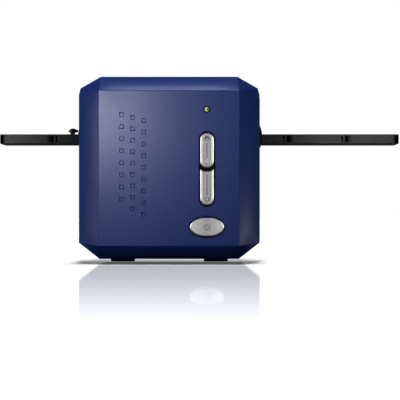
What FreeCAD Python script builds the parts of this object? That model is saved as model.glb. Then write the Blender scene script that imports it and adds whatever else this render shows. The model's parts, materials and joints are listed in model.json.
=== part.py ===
# Film negative scanner: a faceted box that a long film holder slides through.
# Millimetres. X runs along the film holder, Y from the front to the back, Z up.
# The origin lies on the standing surface, under the middle of the casing.
import FreeCAD, Part
import math
import os
from FreeCAD import Vector

X_AXIS = Vector(1, 0, 0)
Y_AXIS = Vector(0, 1, 0)
Z_AXIS = Vector(0, 0, 1)

# One overrun serves every cut that has to pass a face.
overrun = 1.0

# Clearances
running_gap = 0.05
seat_gap = 0.1
sliding_gap = 0.3
rest_gap = 0.15

# Casing
case_width = 116.5
case_height = 117.5
case_depth = 272.0
case_wall = 2.4
foot_stand = 1.7
top_chamfer_width = 13.1
top_chamfer_drop = 7.5
shoulder_width = 1.1
shoulder_drop = 4.1
bottom_chamfer_width = 13.3
bottom_chamfer_rise = 10.4
bevel_depth = 12.0
side_bevel = 12.95
top_bevel = 9.0
bottom_bevel = 8.45
bevel_crown = 0.65
crown_spans = 5
crown_degree = 3
edge_round = 0.5
seam_groove = 0.4
fascia_skirt = 7.0
fascia_wall = 2.5
flat_inset_share = 0.4
rim_setback_share = 0.45
lip_length = 4.0
lip_thickness = 1.6
lap_height = 1.6
lap_gap = 0.2
rear_setback = 2.0

# Columns that screw the two casing halves together
column_radius = 4.0
column_inset = 8.75
column_front_inset = 36.0
column_rear_inset = 44.0
case_screw_radius = 1.45
case_screw_head_radius = 2.8
case_screw_head_height = 2.0
case_screw_length = 12.0
column_web = 5.0
driver_bore_radius = 3.2
pilot_radius = 1.5
pilot_depth = 10.0

# Feet
foot_radius = 7.8
foot_edge = 0.7
foot_inset_x = 28.25
foot_inset_y = 24.0

# Film holder
frame_pitch = 38.0
frame_count = 6
film_window_length = 36.0
film_window_width = 24.0
film_width = 35.3
film_channel_depth = 0.3
holder_end = 16.0
holder_width = 54.0
holder_thickness = 7.1
holder_corner = 4.0
holder_floor = 3.1
holder_side_wall = 3.0
holder_edge_drop = 1.35
holder_edge_inset = 0.8
holder_front_setback = 63.0
holder_level_share = 0.62766
end_chamfer_length = 2.6
end_chamfer_height = 1.0
window_flare = 1.6
window_bar_edge = 0.25
hinge_pin_radius = 0.8
hinge_pin_length = 5.6
hinge_pin_end_gap = 0.4
hinge_inset = 2.4

# Notches in the front edge of the holder, one for each frame
notch_slot_width = 1.0
notch_rib_width = 1.2
notch_height = 4.8
notch_depth = 1.3
notch_offset = 1.9
ramp_length = 4.4
ramp_depth = 0.9

# Turn latch on the holder's lid
latch_reach = 82.66
latch_edge_inset = 6.5
latch_stem_radius = 1.5
latch_stem_entry = 1.2
latch_gap = 0.7
latch_left = 2.75
latch_right = 3.58
latch_shoulder = 2.4
latch_rise = 3.8
latch_tip_rise = 1.45
latch_right_rise = 3.0
latch_half_length = 5.0
latch_crown_offset = 0.25

# Slot and its bezels
slot_margin_y = 0.8
slot_below = 0.6
slot_above = 0.9
bezel_rim = 1.65
bezel_bulge = 1.7
bezel_rim_y = 3.2
bezel_corner = 4.5
slot_corner = 1.2
collar_wall = 1.0

# Buttons and status lamp: heights are shares of the fascia's flat, from its lower edge
control_inset = 20.8
button_width = 8.75
upper_button_top_share = 0.728
upper_button_bottom_share = 0.5022
lower_button_bottom_share = 0.2607
button_waist_gap = 2.3
button_gap = 0.3
button_frame_ring = 0.75
button_frame_setback = 0.6
button_frame_flange = 2.0
button_frame_flange_thickness = 1.2
button_proud = 1.5
button_edge_fillet = 1.1
button_dish_width = 5.0
button_dish_depth = 0.45
button_groove_width = 0.5
button_groove_depth = 0.3
button_flange = 0.9
button_flange_thickness = 1.0
button_travel = 1.0
plunger_radius = 1.6
power_width = 22.0
power_height = 12.6
power_level_share = 0.1216
power_gap = 0.5
power_rim = 0.5
power_rim_depth = 0.6
power_proud = 1.1
power_edge_fillet = 0.9
symbol_radius = 1.9
symbol_line = 0.35
symbol_depth = 0.25
symbol_opening_degrees = 70.0
pictogram_width = 2.6
pictogram_height = 2.0
pictogram_inset = 4.0
led_level_share = 0.8787
led_radius = 1.8
led_hole_radius = 2.33
led_dome = 0.9
led_setback = 0.35
led_flange_radius = 3.2
led_flange_thickness = 1.0

# Square dimples on the flat of the fascia
dimple_size = 2.9
dimple_floor = 2.0
dimple_depth = 0.9
dimple_inset_x = 14.8
dimple_column_pitch = 7.15
dimple_top_inset_share = 0.1544
dimple_column_step = 1.93
dimple_pitch_shares = (0.0778, 0.0733, 0.0755)
dimple_row_counts = (8, 9, 9)

# Front board
board_thickness = 1.6
front_board_width = 32.0
front_board_low_inset = 10.0
front_board_high_inset = 15.5
switch_size = 6.0
switch_height = 3.6
switch_well_depth = 2.0
board_post_radius = 2.6
board_post_inset = 3.4
board_screw_radius = 1.0
board_screw_head_radius = 2.0
board_screw_head_height = 1.2
board_screw_length = 5.0
chip_led_size = 2.8
chip_led_height = 1.4
ribbon_thickness = 0.3
ribbon_width = 12.0
ribbon_roof_gap = 0.8

# Chassis
chassis_stand = 3.9
chassis_floor = 2.0
chassis_side_gap = 1.95
chassis_end_inset = 24.0
chassis_end_wall = 3.0
chassis_end_rise = 26.0
chassis_end_step = 3.0
chassis_window_side = 21.0
chassis_window_end = 37.0
chassis_screw_inset_x = 7.0
chassis_screw_inset_y = 17.0
chassis_boss_radius = 4.0
chassis_screw_radius = 1.45
chassis_screw_head_radius = 2.8
chassis_screw_head_height = 1.8
chassis_screw_depth = 3.2
tower_overhang = 1.0
tower_size = 7.0
tower_spread = 27.0

# Guide rods, bushes and drive
rod_radius = 3.0
rod_lug_inset = 6.0
rod_rise = 22.3
bush_radius = 5.0
bush_length = 14.0
screw_radius = 3.0
motor_side_gap = 0.85
screw_rise = 33.8
screw_front_reach = 30.0
bearing_length = 6.0
bearing_width = 10.0
bearing_roof = 4.0
nut_radius = 5.0
nut_flange_radius = 6.5
nut_flange = 2.0
nut_length = 12.0
nut_inset = 37.0
motor_size = 28.0
motor_length = 18.0
motor_corner = 4.0
motor_plate_margin = 0.5
shaft_radius = 1.5
shaft_end_gap = 1.5

# Carriage and optics
scan_travel = 30.0
carriage_front_reach = 20.0
carriage_rear_gap = 2.4
carriage_nut_gap = 7.5
carriage_rise = 14.3
carriage_floor = 2.5
carriage_wall = 2.5
carriage_height = 40.0
lug_reach = 12.0
lug_height = 12.0
nut_lug_thickness = 6.0
nut_lug_margin = 6.0
optic_rise = 38.3
mirror_side_gap = 2.5
mirror_length = 28.0
mirror_thickness = 2.0
mirror_seat_step = 2.0
mirror_toe = 3.0
lens_reach = 56.0
lens_length = 27.0
lens_radius = 11.0
lens_nose_radius = 9.0
lens_nose_length = 8.0
lens_bore_radius = 7.0
lens_glass_thickness = 3.0
lens_glass_setback = 1.2
cradle_length = 16.0
cradle_side_gap = 7.5
cradle_drop = 6.0
clamp_thickness = 1.5
sensor_board_height = 34.0
sensor_board_side_gap = 4.5
sensor_height = 10.0
sensor_thickness = 3.0
sensor_end_step = 2.0
sensor_window_end = 4.0
sensor_window_height = 2.5
sensor_window_depth = 0.6
home_sensor_inset = 7.0
home_sensor_width = 12.0
home_sensor_gap = 4.0
home_sensor_length = 8.0
home_sensor_height = 12.0
home_sensor_base = 3.0
home_sensor_clearance = 3.0
flag_width = 2.0
flag_length = 8.0
flag_height = 3.0

# Film track and lamp
track_floor = 2.6
track_rail = 3.0
track_rail_height = 4.7
track_end_gap = 0.35
track_window_length = 40.0
track_window_width = 27.0
detent_length = 26.0
detent_thickness = 0.4
detent_height = 4.0
detent_nose_width = 2.4
lamp_half_length = 32.0
lamp_wall = 2.0
lamp_floor = 1.2
lamp_clearance = 0.7
lamp_roof_gap = 8.75
diffuser_thickness = 2.0
lamp_led_size = 3.0
lamp_led_height = 1.5
lamp_led_pitch = 8.0
lamp_led_row_count = 3
lamp_led_column_count = 5

# Rear panel and main board
panel_thickness = 2.4
panel_gap = 0.2
panel_rib_depth = 6.0
panel_rib_thickness = 2.0
main_board_side_gap = 11.85
main_board_width = 66.0
main_board_rise = 30.0
main_board_drop = 18.0
usb_inset = 50.0
usb_width = 12.0
usb_height = 11.0
usb_wall = 0.8
usb_tongue_width = 5.6
usb_tongue_height = 3.2
usb_corner = 2.4
power_socket_inset = 18.0
power_socket_width = 9.0
power_socket_height = 11.0
jack_bore_radius = 3.2
jack_pin_radius = 1.0
jack_pin_setback = 2.0
socket_depth = 14.0
socket_roof_drop = 39.5
socket_clearance = 0.25
chip_large = 20.0
chip_small = 10.0
chip_height = 2.0
chip_inset = 32.0
chip_rise = 16.0
small_chip_inset = 56.0
capacitor_radius = 4.0
capacitor_height = 9.0
capacitor_inset = 8.0
capacitor_pitch = 10.0
capacitor_rise = 20.0
sensor_ribbon_width = 20.0
sensor_ribbon_bow = 7.0

# Places worked out from the driving sizes
half_width = case_width / 2
half_depth = case_depth / 2
case_floor = foot_stand
case_roof = foot_stand + case_height
fascia_end_y = -half_depth + bevel_depth + fascia_skirt
scan_y = -half_depth + holder_front_setback + holder_width / 2
holder_x = frame_pitch / 2
holder_low = case_floor + case_height * holder_level_share
holder_top = holder_low + holder_thickness
holder_length = frame_count * frame_pitch + 2 * holder_end
seam_z = (holder_low + holder_top) / 2
latch_x = holder_x - latch_reach
latch_y = scan_y - holder_width / 2 + latch_edge_inset
latch_top = holder_top + latch_rise
slot_low = holder_low - slot_below
slot_high = latch_top + slot_above
slot_half_length = holder_width / 2 + slot_margin_y
bezel_low = slot_low - bezel_rim
bezel_high = slot_high + bezel_rim
track_top = holder_low - rest_gap
track_low = track_top - track_floor
lamp_low = latch_top + lamp_clearance
lamp_top = case_roof - case_wall - lamp_roof_gap
chassis_low = case_floor + case_wall + chassis_stand
chassis_top = chassis_low + chassis_floor
rod_z = case_floor + rod_rise
screw_z = case_floor + screw_rise
optic_z = case_floor + optic_rise
carriage_low = case_floor + carriage_rise
panel_rear_y = half_depth - rear_setback
panel_front_y = panel_rear_y - panel_thickness
main_board_y = panel_rear_y - socket_depth
main_board_front_y = main_board_y - board_thickness
home_y = scan_y - scan_travel / 2
carriage_front = home_y - carriage_front_reach
carriage_rear = main_board_front_y - capacitor_height - carriage_rear_gap - scan_travel
lens_y = home_y + lens_reach
nut_y = carriage_rear - nut_inset
screw_front_y = nut_y - screw_front_reach
screw_x = half_width - case_wall - motor_side_gap - motor_size / 2
carriage_half_width = screw_x - nut_flange_radius - carriage_nut_gap
carriage_inner = carriage_half_width - carriage_wall
mirror_width = 2 * (carriage_inner - mirror_side_gap)
cradle_half_width = carriage_inner - cradle_side_gap
sensor_board_width = 2 * (carriage_inner - sensor_board_side_gap)
sensor_length = sensor_board_width - 2 * sensor_end_step
rod_x = carriage_half_width + rod_lug_inset
home_sensor_x = carriage_half_width - home_sensor_inset
chassis_half_width = half_width - bottom_chamfer_width - chassis_side_gap
chassis_end_y = half_depth - chassis_end_inset
chassis_end_half_width = chassis_half_width - chassis_end_step
chassis_screw_x = chassis_half_width - chassis_screw_inset_x
chassis_screw_y = chassis_end_y - chassis_screw_inset_y
tower_x = chassis_half_width + tower_overhang
column_x = half_width - column_inset
column_front_y = -half_depth + column_front_inset
column_rear_y = half_depth - column_rear_inset
foot_x = half_width - foot_inset_x
foot_y = half_depth - foot_inset_y
main_board_x1 = half_width - case_wall - main_board_side_gap
main_board_x0 = main_board_x1 - main_board_width
socket_z = case_roof - socket_roof_drop
main_board_low = socket_z - main_board_drop
main_board_high = socket_z + main_board_rise
flat_side = half_width - side_bevel
flat_low = case_floor + bottom_bevel
flat_high = case_roof - top_bevel
flat_height = flat_high - flat_low
control_x = flat_side - control_inset
power_z = flat_low + flat_height * power_level_share
led_z = flat_low + flat_height * led_level_share
front_board_low = case_floor + front_board_low_inset
front_board_high = case_roof - front_board_high_inset
button_radius = button_width / 2
button_flange_y = -half_depth + fascia_wall + button_frame_flange_thickness + seat_gap
button_rear_y = button_flange_y + button_flange_thickness
front_board_y = button_rear_y + button_travel + sliding_gap + switch_height


def block(x0, x1, y0, y1, z0, z1):
    return Part.makeBox(x1 - x0, y1 - y0, z1 - z0, Vector(x0, y0, z0))


def centred_block(centre, size_x, size_y, size_z):
    corner = centre - Vector(size_x / 2, size_y / 2, size_z / 2)
    return Part.makeBox(size_x, size_y, size_z, corner)


def post(radius, start, axis, length):
    return Part.makeCylinder(radius, length, start, axis)


def closed_wire(points):
    return Part.makePolygon(points + [points[0]])


def prism(points, direction):
    return Part.Face(closed_wire(points)).extrude(direction)


def section_prism(points_xz, y0, y1):
    """A prism along Y of an outline given in x and z."""
    corners = [Vector(x, y0, z) for x, z in points_xz]
    return prism(corners, Vector(0, y1 - y0, 0))


def joined(shapes):
    return shapes[0].multiFuse(shapes[1:]).removeSplitter()


def mirrored_x(shape):
    return shape.mirror(Vector(0, 0, 0), X_AXIS)


def inset_outline(points, distance):
    """A convex anticlockwise outline in x and z with each side moved inwards."""
    moved = []
    for index, here in enumerate(points):
        before = points[index - 1]
        after = points[(index + 1) % len(points)]
        arriving = Vector(here[0] - before[0], here[1] - before[1], 0).normalize()
        leaving = Vector(after[0] - here[0], after[1] - here[1], 0).normalize()
        normals = Vector(-arriving.y - leaving.y, arriving.x + leaving.x, 0)
        step = normals * (distance / (1 + arriving.dot(leaving)))
        moved.append((here[0] + step.x, here[1] + step.y))
    return moved


def case_outline():
    """The widest section of the casing, anticlockwise from its lower left corner."""
    right = [
        (half_width - bottom_chamfer_width, case_floor),
        (half_width, case_floor + bottom_chamfer_rise),
        (half_width, case_roof - top_chamfer_drop - shoulder_drop),
        (half_width - shoulder_width, case_roof - top_chamfer_drop),
        (half_width - shoulder_width - top_chamfer_width, case_roof),
    ]
    left = [(-x, z) for x, z in reversed(right)]
    return right + left


def flat_outline():
    """The flat rectangle at the front, anticlockwise from its lower right corner."""
    return [(flat_side, flat_low), (flat_side, flat_high), (-flat_side, flat_high), (-flat_side, flat_low)]


def crowned_facet(near, here, following, far, crown):
    """A bevel that swells between its long edges, by the crown along most of its length.

    All four borders stay straight, so that it meets its neighbours as a plane would.
    """
    knots = list(range(crown_spans + 1))
    multiplicities = [crown_degree + 1] + [1] * (crown_spans - 1) + [crown_degree + 1]
    knot_row = [0] * crown_degree + knots + [crown_spans] * crown_degree
    outward = (here - near).cross(far - near).normalize()
    pole_count = crown_spans + crown_degree
    poles = []
    for across in range(3):
        start = near + (here - near) * (across / 2)
        end = far + (following - far) * (across / 2)
        row = []
        for index in range(pole_count):
            share = sum(knot_row[index + 1 : index + 1 + crown_degree]) / (crown_degree * crown_spans)
            point = start + (end - start) * share
            if across == 1 and 0 < index < pole_count - 1:
                point = point + outward * (2 * crown)
            row.append(point)
        poles.append(row)
    surface = Part.BSplineSurface()
    surface.buildFromPolesMultsKnots(
        poles, [3, 3], multiplicities, [0, 1], knots, False, False, 2, crown_degree
    )
    return surface.toShape()


def faceted_block(flat, flat_y, rim, rim_y, end_y, crown):
    """A prism of the rim outline whose front end tapers in facets to the flat outline.

    Each corner of the rim meets the corner of the flat that is nearest to it. The four-sided
    facets swell by the crown, and the three-sided ones at the corners are plane.
    """
    front = [Vector(x, flat_y, z) for x, z in flat]
    ring = [Vector(x, rim_y, z) for x, z in rim]
    faces = [Part.Face(closed_wire(front)), Part.Face(closed_wire(ring))]
    for index, here in enumerate(ring):
        following = (index + 1) % len(ring)
        near = min(front, key=here.distanceToPoint)
        far = min(front, key=ring[following].distanceToPoint)
        if near == far:
            faces.append(Part.Face(closed_wire([near, here, ring[following]])))
        elif crown > 0:
            faces.append(crowned_facet(near, here, ring[following], far, crown))
        else:
            faces.append(Part.Face(closed_wire([near, here, ring[following], far])))
    sewn = Part.makeCompound(faces)
    sewn.sewShape()
    nose = Part.Solid(sewn.Shells[0])
    if nose.Volume < 0:
        nose.reverse()
    return joined([nose, section_prism(rim, rim_y, end_y)])


def case_block(y0, y1):
    """A length of the casing's outside: long edges rounded, ends broken where seams show."""
    blank = section_prism(case_outline(), y0, y1)
    long_edges = []
    for edge in blank.Edges:
        if edge.BoundBox.YLength > max(edge.BoundBox.XLength, edge.BoundBox.ZLength):
            long_edges.append(edge)
    blank = blank.makeFillet(edge_round, long_edges)
    return blank.makeChamfer(seam_groove, edges_at_y(blank, y0) + edges_at_y(blank, y1))


def casing_tube():
    """The casing's wall behind the fascia."""
    inner_outline = inset_outline(case_outline(), case_wall)
    inner = section_prism(inner_outline, fascia_end_y - overrun, half_depth + overrun)
    return case_block(fascia_end_y, half_depth).cut(inner)


def side_seam_grooves():
    """Two small grooves along the casing's sides, where its halves meet."""
    grooves = []
    for side in (-half_width, half_width):
        outline = [
            (side - seam_groove, seam_z),
            (side, seam_z - seam_groove),
            (side + seam_groove, seam_z),
            (side, seam_z + seam_groove),
        ]
        grooves.append(section_prism(outline, fascia_end_y - overrun, half_depth + overrun))
    return grooves


def casing_ring(inset_outer, inset_inner, y0, y1):
    """A length of the casing's wall between two insets of its section."""
    outer = section_prism(inset_outline(case_outline(), inset_outer), y0, y1)
    inner_outline = inset_outline(case_outline(), inset_inner)
    return outer.cut(section_prism(inner_outline, y0 - overrun, y1 + overrun))


def stadium_face(centre_x, low, high, radius, y):
    """A face square to Y with straight sides and round ends."""
    left = centre_x - radius
    right = centre_x + radius
    edges = [
        Part.LineSegment(Vector(right, y, low + radius), Vector(right, y, high - radius)).toShape(),
        Part.Arc(
            Vector(right, y, high - radius), Vector(centre_x, y, high), Vector(left, y, high - radius)
        ).toShape(),
        Part.LineSegment(Vector(left, y, high - radius), Vector(left, y, low + radius)).toShape(),
        Part.Arc(
            Vector(left, y, low + radius), Vector(centre_x, y, low), Vector(right, y, low + radius)
        ).toShape(),
    ]
    return Part.Face(Part.Wire(edges))


def waisted_face(centre_x, low, radius, waist_centre_z, waist_radius, y):
    """As a stadium, with its top end hollowed by a round of the given radius."""
    left = centre_x - radius
    right = centre_x + radius
    shoulder = waist_centre_z - math.sqrt(waist_radius**2 - radius**2)
    edges = [
        Part.LineSegment(Vector(right, y, low + radius), Vector(right, y, shoulder)).toShape(),
        Part.Arc(
            Vector(right, y, shoulder),
            Vector(centre_x, y, waist_centre_z - waist_radius),
            Vector(left, y, shoulder),
        ).toShape(),
        Part.LineSegment(Vector(left, y, shoulder), Vector(left, y, low + radius)).toShape(),
        Part.Arc(
            Vector(left, y, low + radius), Vector(centre_x, y, low), Vector(right, y, low + radius)
        ).toShape(),
    ]
    return Part.Face(Part.Wire(edges))


def ellipse_face(width, height, y):
    """An upright or lying ellipse round the power button's centre."""
    curve = Part.Ellipse(Vector(0, 0, 0), width / 2, height / 2)
    face = Part.Face(Part.Wire(curve.toShape()))
    face.rotate(Vector(0, 0, 0), X_AXIS, 90)
    face.translate(Vector(control_x, y, power_z))
    return face


def along_y(face, length):
    return face.extrude(Vector(0, length, 0))


def edges_at_y(shape, y):
    """The edges that lie wholly in one plane square to Y."""
    box_limit = seat_gap / 10
    found = []
    for edge in shape.Edges:
        box = edge.BoundBox
        if abs(box.YMin - y) < box_limit and abs(box.YMax - y) < box_limit:
            found.append(edge)
    return found


def rounded_plate(x0, x1, y0, y1, z0, z1, corner):
    """A plate whose four upright corners are rounded."""
    plate = block(x0, x1, y0, y1, z0, z1)
    upright = []
    for edge in plate.Edges:
        if edge.BoundBox.ZLength > max(edge.BoundBox.XLength, edge.BoundBox.YLength):
            upright.append(edge)
    return plate.makeFillet(corner, upright)


# Shapes that the fascia and its neighbours share

upper_low = flat_low + flat_height * upper_button_bottom_share
upper_high = flat_low + flat_height * upper_button_top_share
lower_low = flat_low + flat_height * lower_button_bottom_share
waist_centre = upper_low + button_radius
waist_radius = button_radius + button_waist_gap


def upper_face(grow, y):
    return stadium_face(control_x, upper_low - grow, upper_high + grow, button_radius + grow, y)


def lower_face(grow, y):
    return waisted_face(
        control_x, lower_low - grow, button_radius + grow, waist_centre, waist_radius - grow, y
    )


def button_column_face(grow, y):
    return stadium_face(control_x, lower_low - grow, upper_high + grow, button_radius + grow, y)


frame_grow = button_gap + button_frame_ring


def board_post_places():
    side = front_board_width / 2 - board_post_inset
    low = front_board_low + board_post_inset
    high = front_board_high - board_post_inset
    places = []
    for x in (control_x - side, control_x + side):
        for z in (low, high):
            places.append((x, z))
    return places


def dimple(x, z):
    """One square pocket with sloping walls, as a solid to cut away."""
    front_y = -half_depth
    loops = []
    for size, y in ((dimple_size, front_y), (dimple_floor, front_y + dimple_depth)):
        side = size / 2
        corners = [
            Vector(x - side, y, z - side),
            Vector(x + side, y, z - side),
            Vector(x + side, y, z + side),
            Vector(x - side, y, z + side),
        ]
        loops.append(closed_wire(corners))
    return Part.makeLoft(loops, True, True)


def dimples():
    pockets = []
    first_top = flat_high - flat_height * dimple_top_inset_share
    for column, rows in enumerate(dimple_row_counts):
        x = -flat_side + dimple_inset_x + column * dimple_column_pitch
        top = first_top - column * dimple_column_step
        pitch = flat_height * dimple_pitch_shares[column]
        for row in range(rows):
            pockets.append(dimple(x, top - row * pitch))
    return pockets


def front_fascia():
    """The faceted front moulding: the part of the object that takes the most skill."""
    rim = case_outline()
    flat = flat_outline()
    outer = faceted_block(flat, -half_depth, rim, -half_depth + bevel_depth, fascia_end_y, bevel_crown)
    seam_edges = edges_at_y(outer, fascia_end_y)
    outer = outer.makeFillet(
        edge_round, [edge for edge in outer.Edges if not any(edge.isSame(other) for other in seam_edges)]
    )
    outer = outer.makeChamfer(seam_groove, edges_at_y(outer, fascia_end_y))
    inner = faceted_block(
        inset_outline(flat, fascia_wall * flat_inset_share),
        -half_depth + fascia_wall,
        inset_outline(rim, fascia_wall),
        -half_depth + bevel_depth + fascia_wall * rim_setback_share,
        fascia_end_y + overrun,
        0,
    )
    shell = outer.cut(inner)
    lip_outer = case_wall + sliding_gap
    lip = casing_ring(lip_outer, lip_outer + lip_thickness, fascia_end_y, fascia_end_y + lip_length)
    root = casing_ring(fascia_wall, lip_outer + lip_thickness, fascia_end_y - lip_length, fascia_end_y)
    posts = []
    inner_y = -half_depth + fascia_wall
    for x, z in board_post_places():
        start = Vector(x, inner_y, z)
        posts.append(post(board_post_radius, start, Y_AXIS, front_board_y - inner_y))
    body = joined([shell, lip, root] + posts)
    front = -half_depth - overrun
    through = fascia_wall + 2 * overrun
    cuts = [
        along_y(button_column_face(frame_grow, front), through),
        along_y(ellipse_face(power_width + 2 * power_gap, power_height + 2 * power_gap, front), through),
        post(led_hole_radius, Vector(control_x, front, led_z), Y_AXIS, through),
    ]
    rim_width = power_width + 2 * power_gap
    rim_height = power_height + 2 * power_gap
    rim_wires = [
        ellipse_face(rim_width + 2 * power_rim, rim_height + 2 * power_rim, -half_depth).OuterWire,
        ellipse_face(rim_width, rim_height, -half_depth + power_rim_depth).OuterWire,
    ]
    cuts.append(Part.makeLoft(rim_wires, True, True))
    for x, z in board_post_places():
        start = Vector(x, front_board_y - board_screw_length, z)
        cuts.append(post(board_screw_radius, start, Y_AXIS, board_screw_length + overrun))
    return body.cut(cuts + dimples())


def button_frame():
    """The dark insert that rings both long buttons, with a crescent bridge between them."""
    front = -half_depth + button_frame_setback
    back = -half_depth + fascia_wall
    ring = along_y(button_column_face(frame_grow - running_gap, front), back - front)
    flange_face = button_column_face(frame_grow + button_frame_flange, back)
    flange = along_y(flange_face, button_frame_flange_thickness)
    body = joined([ring, flange])
    length = back - front + button_frame_flange_thickness + 2 * overrun
    cuts = [
        along_y(upper_face(button_gap, front - overrun), length),
        along_y(lower_face(button_gap, front - overrun), length),
    ]
    return body.cut(cuts)


def button_body(face_at, flange_at):
    """A button cap: rounded front edge, retaining flange and switch plunger added later."""
    front = -half_depth - button_proud
    flange_front = button_flange_y
    cap = along_y(face_at(0, front), flange_front - front)
    cap = cap.makeFillet(button_edge_fillet, edges_at_y(cap, front))
    flange = along_y(flange_at(button_flange, flange_front), button_flange_thickness)
    return joined([cap, flange])


def dished(cap, low, high):
    """Hollows the middle of a long button along its length and adds its centre line."""
    front = -half_depth - button_proud
    half_dish = button_dish_width / 2
    radius = (half_dish**2 + button_dish_depth**2) / (2 * button_dish_depth)
    length = high - low - 2 * button_radius
    start = Vector(control_x, front - radius + button_dish_depth, low + button_radius)
    dish = post(radius, start, Z_AXIS, length)
    for end in (low + button_radius, high - button_radius):
        ball = Part.makeSphere(radius, Vector(control_x, front - radius + button_dish_depth, end))
        dish = dish.fuse(ball)
    groove = block(
        control_x - button_groove_width / 2,
        control_x + button_groove_width / 2,
        front,
        front + button_dish_depth + button_groove_depth,
        low + button_radius + pictogram_height,
        high - button_radius - pictogram_height,
    )
    return cap.cut([dish, groove])


def pictogram(z):
    """A plain frame mark, as a ring to cut from a button's face."""
    front = -half_depth - button_proud
    depth = button_dish_depth + symbol_depth
    centre = Vector(control_x, front + depth / 2, z)
    outside = centred_block(centre, pictogram_width, depth, pictogram_height)
    line = 2 * symbol_line
    inside = centred_block(centre, pictogram_width - line, 2 * depth, pictogram_height - line)
    return outside.cut(inside)


def plunger(z):
    """The stub behind a button that enters its switch."""
    start = Vector(control_x, button_rear_y, z)
    reach = button_travel + sliding_gap + switch_well_depth
    return post(plunger_radius, start, Y_AXIS, reach)


def upper_button():
    cap = dished(button_body(upper_face, upper_face), upper_low, upper_high)
    cap = cap.cut(pictogram(upper_high - pictogram_inset))
    return joined([cap, plunger((upper_low + upper_high) / 2)])


lower_top = waist_centre - waist_radius


def lower_button():
    cap = dished(button_body(lower_face, lower_face), lower_low, lower_top + button_radius)
    cap = cap.cut(pictogram(lower_low + pictogram_inset))
    return joined([cap, plunger((lower_low + lower_top) / 2)])


def power_symbol():
    """A broken ring with an upright bar, as a solid to cut away."""
    front = -half_depth - power_proud
    centre = Vector(control_x, front, power_z)
    ring = post(symbol_radius, centre, Y_AXIS, symbol_depth)
    ring = ring.cut(post(symbol_radius - symbol_line, centre, Y_AXIS, symbol_depth))
    half_angle = math.radians(symbol_opening_degrees / 2)
    reach = 2 * symbol_radius
    wedge_points = [
        (centre.x, centre.z),
        (centre.x + reach * math.sin(half_angle), centre.z + reach * math.cos(half_angle)),
        (centre.x - reach * math.sin(half_angle), centre.z + reach * math.cos(half_angle)),
    ]
    ring = ring.cut(section_prism(wedge_points, front, front + symbol_depth))
    bar = block(
        centre.x - symbol_line / 2,
        centre.x + symbol_line / 2,
        front,
        front + symbol_depth,
        centre.z,
        centre.z + symbol_radius,
    )
    return ring.fuse(bar)


def power_button():
    front = -half_depth - power_proud
    flange_front = button_flange_y
    cap = along_y(ellipse_face(power_width, power_height, front), flange_front - front)
    cap = cap.makeFillet(power_edge_fillet, edges_at_y(cap, front))
    grow = 2 * (power_gap + button_flange)
    flange_shape = ellipse_face(power_width + grow, power_height + grow, flange_front)
    flange = along_y(flange_shape, button_flange_thickness)
    cap = joined([cap, flange]).cut(power_symbol())
    return joined([cap, plunger(power_z)])


def led_lens():
    """A short light guide with a domed end, turned about its axis."""
    front = -half_depth + led_setback
    shoulder = front + led_dome
    flange_y = -half_depth + fascia_wall
    end = flange_y + led_flange_thickness
    ball = (led_radius**2 + led_dome**2) / (2 * led_dome)
    half_angle = math.asin(led_radius / ball) / 2
    points = [
        Vector(0, front, 0),
        Vector(ball * math.sin(half_angle), front + ball * (1 - math.cos(half_angle)), 0),
        Vector(led_radius, shoulder, 0),
    ]
    edges = [
        Part.Arc(*points).toShape(),
        Part.LineSegment(points[2], Vector(led_radius, flange_y, 0)).toShape(),
        Part.LineSegment(Vector(led_radius, flange_y, 0), Vector(led_flange_radius, flange_y, 0)).toShape(),
        Part.LineSegment(Vector(led_flange_radius, flange_y, 0), Vector(led_flange_radius, end, 0)).toShape(),
        Part.LineSegment(Vector(led_flange_radius, end, 0), Vector(0, end, 0)).toShape(),
        Part.LineSegment(Vector(0, end, 0), points[0]).toShape(),
    ]
    lens = Part.Face(Part.Wire(edges)).revolve(Vector(0, 0, 0), Y_AXIS, 360)
    lens.translate(Vector(control_x, 0, led_z))
    return lens


def switch_centres():
    return (
        (upper_low + upper_high) / 2,
        (lower_low + lower_top) / 2,
        power_z,
    )


def front_board():
    side = front_board_width / 2
    rear_y = front_board_y + board_thickness
    board = block(
        control_x - side, control_x + side, front_board_y, rear_y, front_board_low, front_board_high
    )
    holes = []
    for x, z in board_post_places():
        start = Vector(x, front_board_y - overrun, z)
        holes.append(post(board_screw_radius + seat_gap, start, Y_AXIS, board_thickness + 2 * overrun))
    return board.cut(holes)


def button_switches():
    """Three switches, each with a well for its button's plunger."""
    switches = []
    for z in switch_centres():
        centre = Vector(control_x, front_board_y - switch_height / 2, z)
        body = centred_block(centre, switch_size, switch_height, switch_size)
        start = Vector(control_x, front_board_y - switch_height, z)
        depth = switch_well_depth + button_travel + sliding_gap
        well = post(plunger_radius + sliding_gap, start, Y_AXIS, depth)
        switches.append(body.cut(well))
    return Part.makeCompound(switches)


def power_led():
    centre = Vector(control_x, front_board_y - chip_led_height / 2, led_z)
    return centred_block(centre, chip_led_size, chip_led_height, chip_led_size)


def small_screw(place, inwards):
    """A pan-headed screw: place is the seat of its head, inwards the way it is driven."""
    top = place - inwards * board_screw_head_height
    head = post(board_screw_head_radius, top, inwards, board_screw_head_height)
    shank = post(board_screw_radius - running_gap, place, inwards, board_screw_length)
    return head.fuse(shank)


def front_board_screws():
    seat = front_board_y + board_thickness
    screws = [small_screw(Vector(x, seat, z), -Y_AXIS) for x, z in board_post_places()]
    return Part.makeCompound(screws)


def column_places():
    places = []
    for x in (-column_x, column_x):
        for y in (column_front_y, column_rear_y):
            places.append((x, y))
    return places


def inside_casing(shape):
    """What of a shape lies within the casing's section."""
    return shape.common(section_prism(case_outline(), -half_depth, half_depth))


def slot_cut():
    """The straight way through both side walls that the bezels line."""
    half_length = slot_half_length + collar_wall
    return block(
        -half_width - overrun,
        half_width + overrun,
        scan_y - half_length,
        scan_y + half_length,
        slot_low - collar_wall,
        slot_high + collar_wall,
    )


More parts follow.
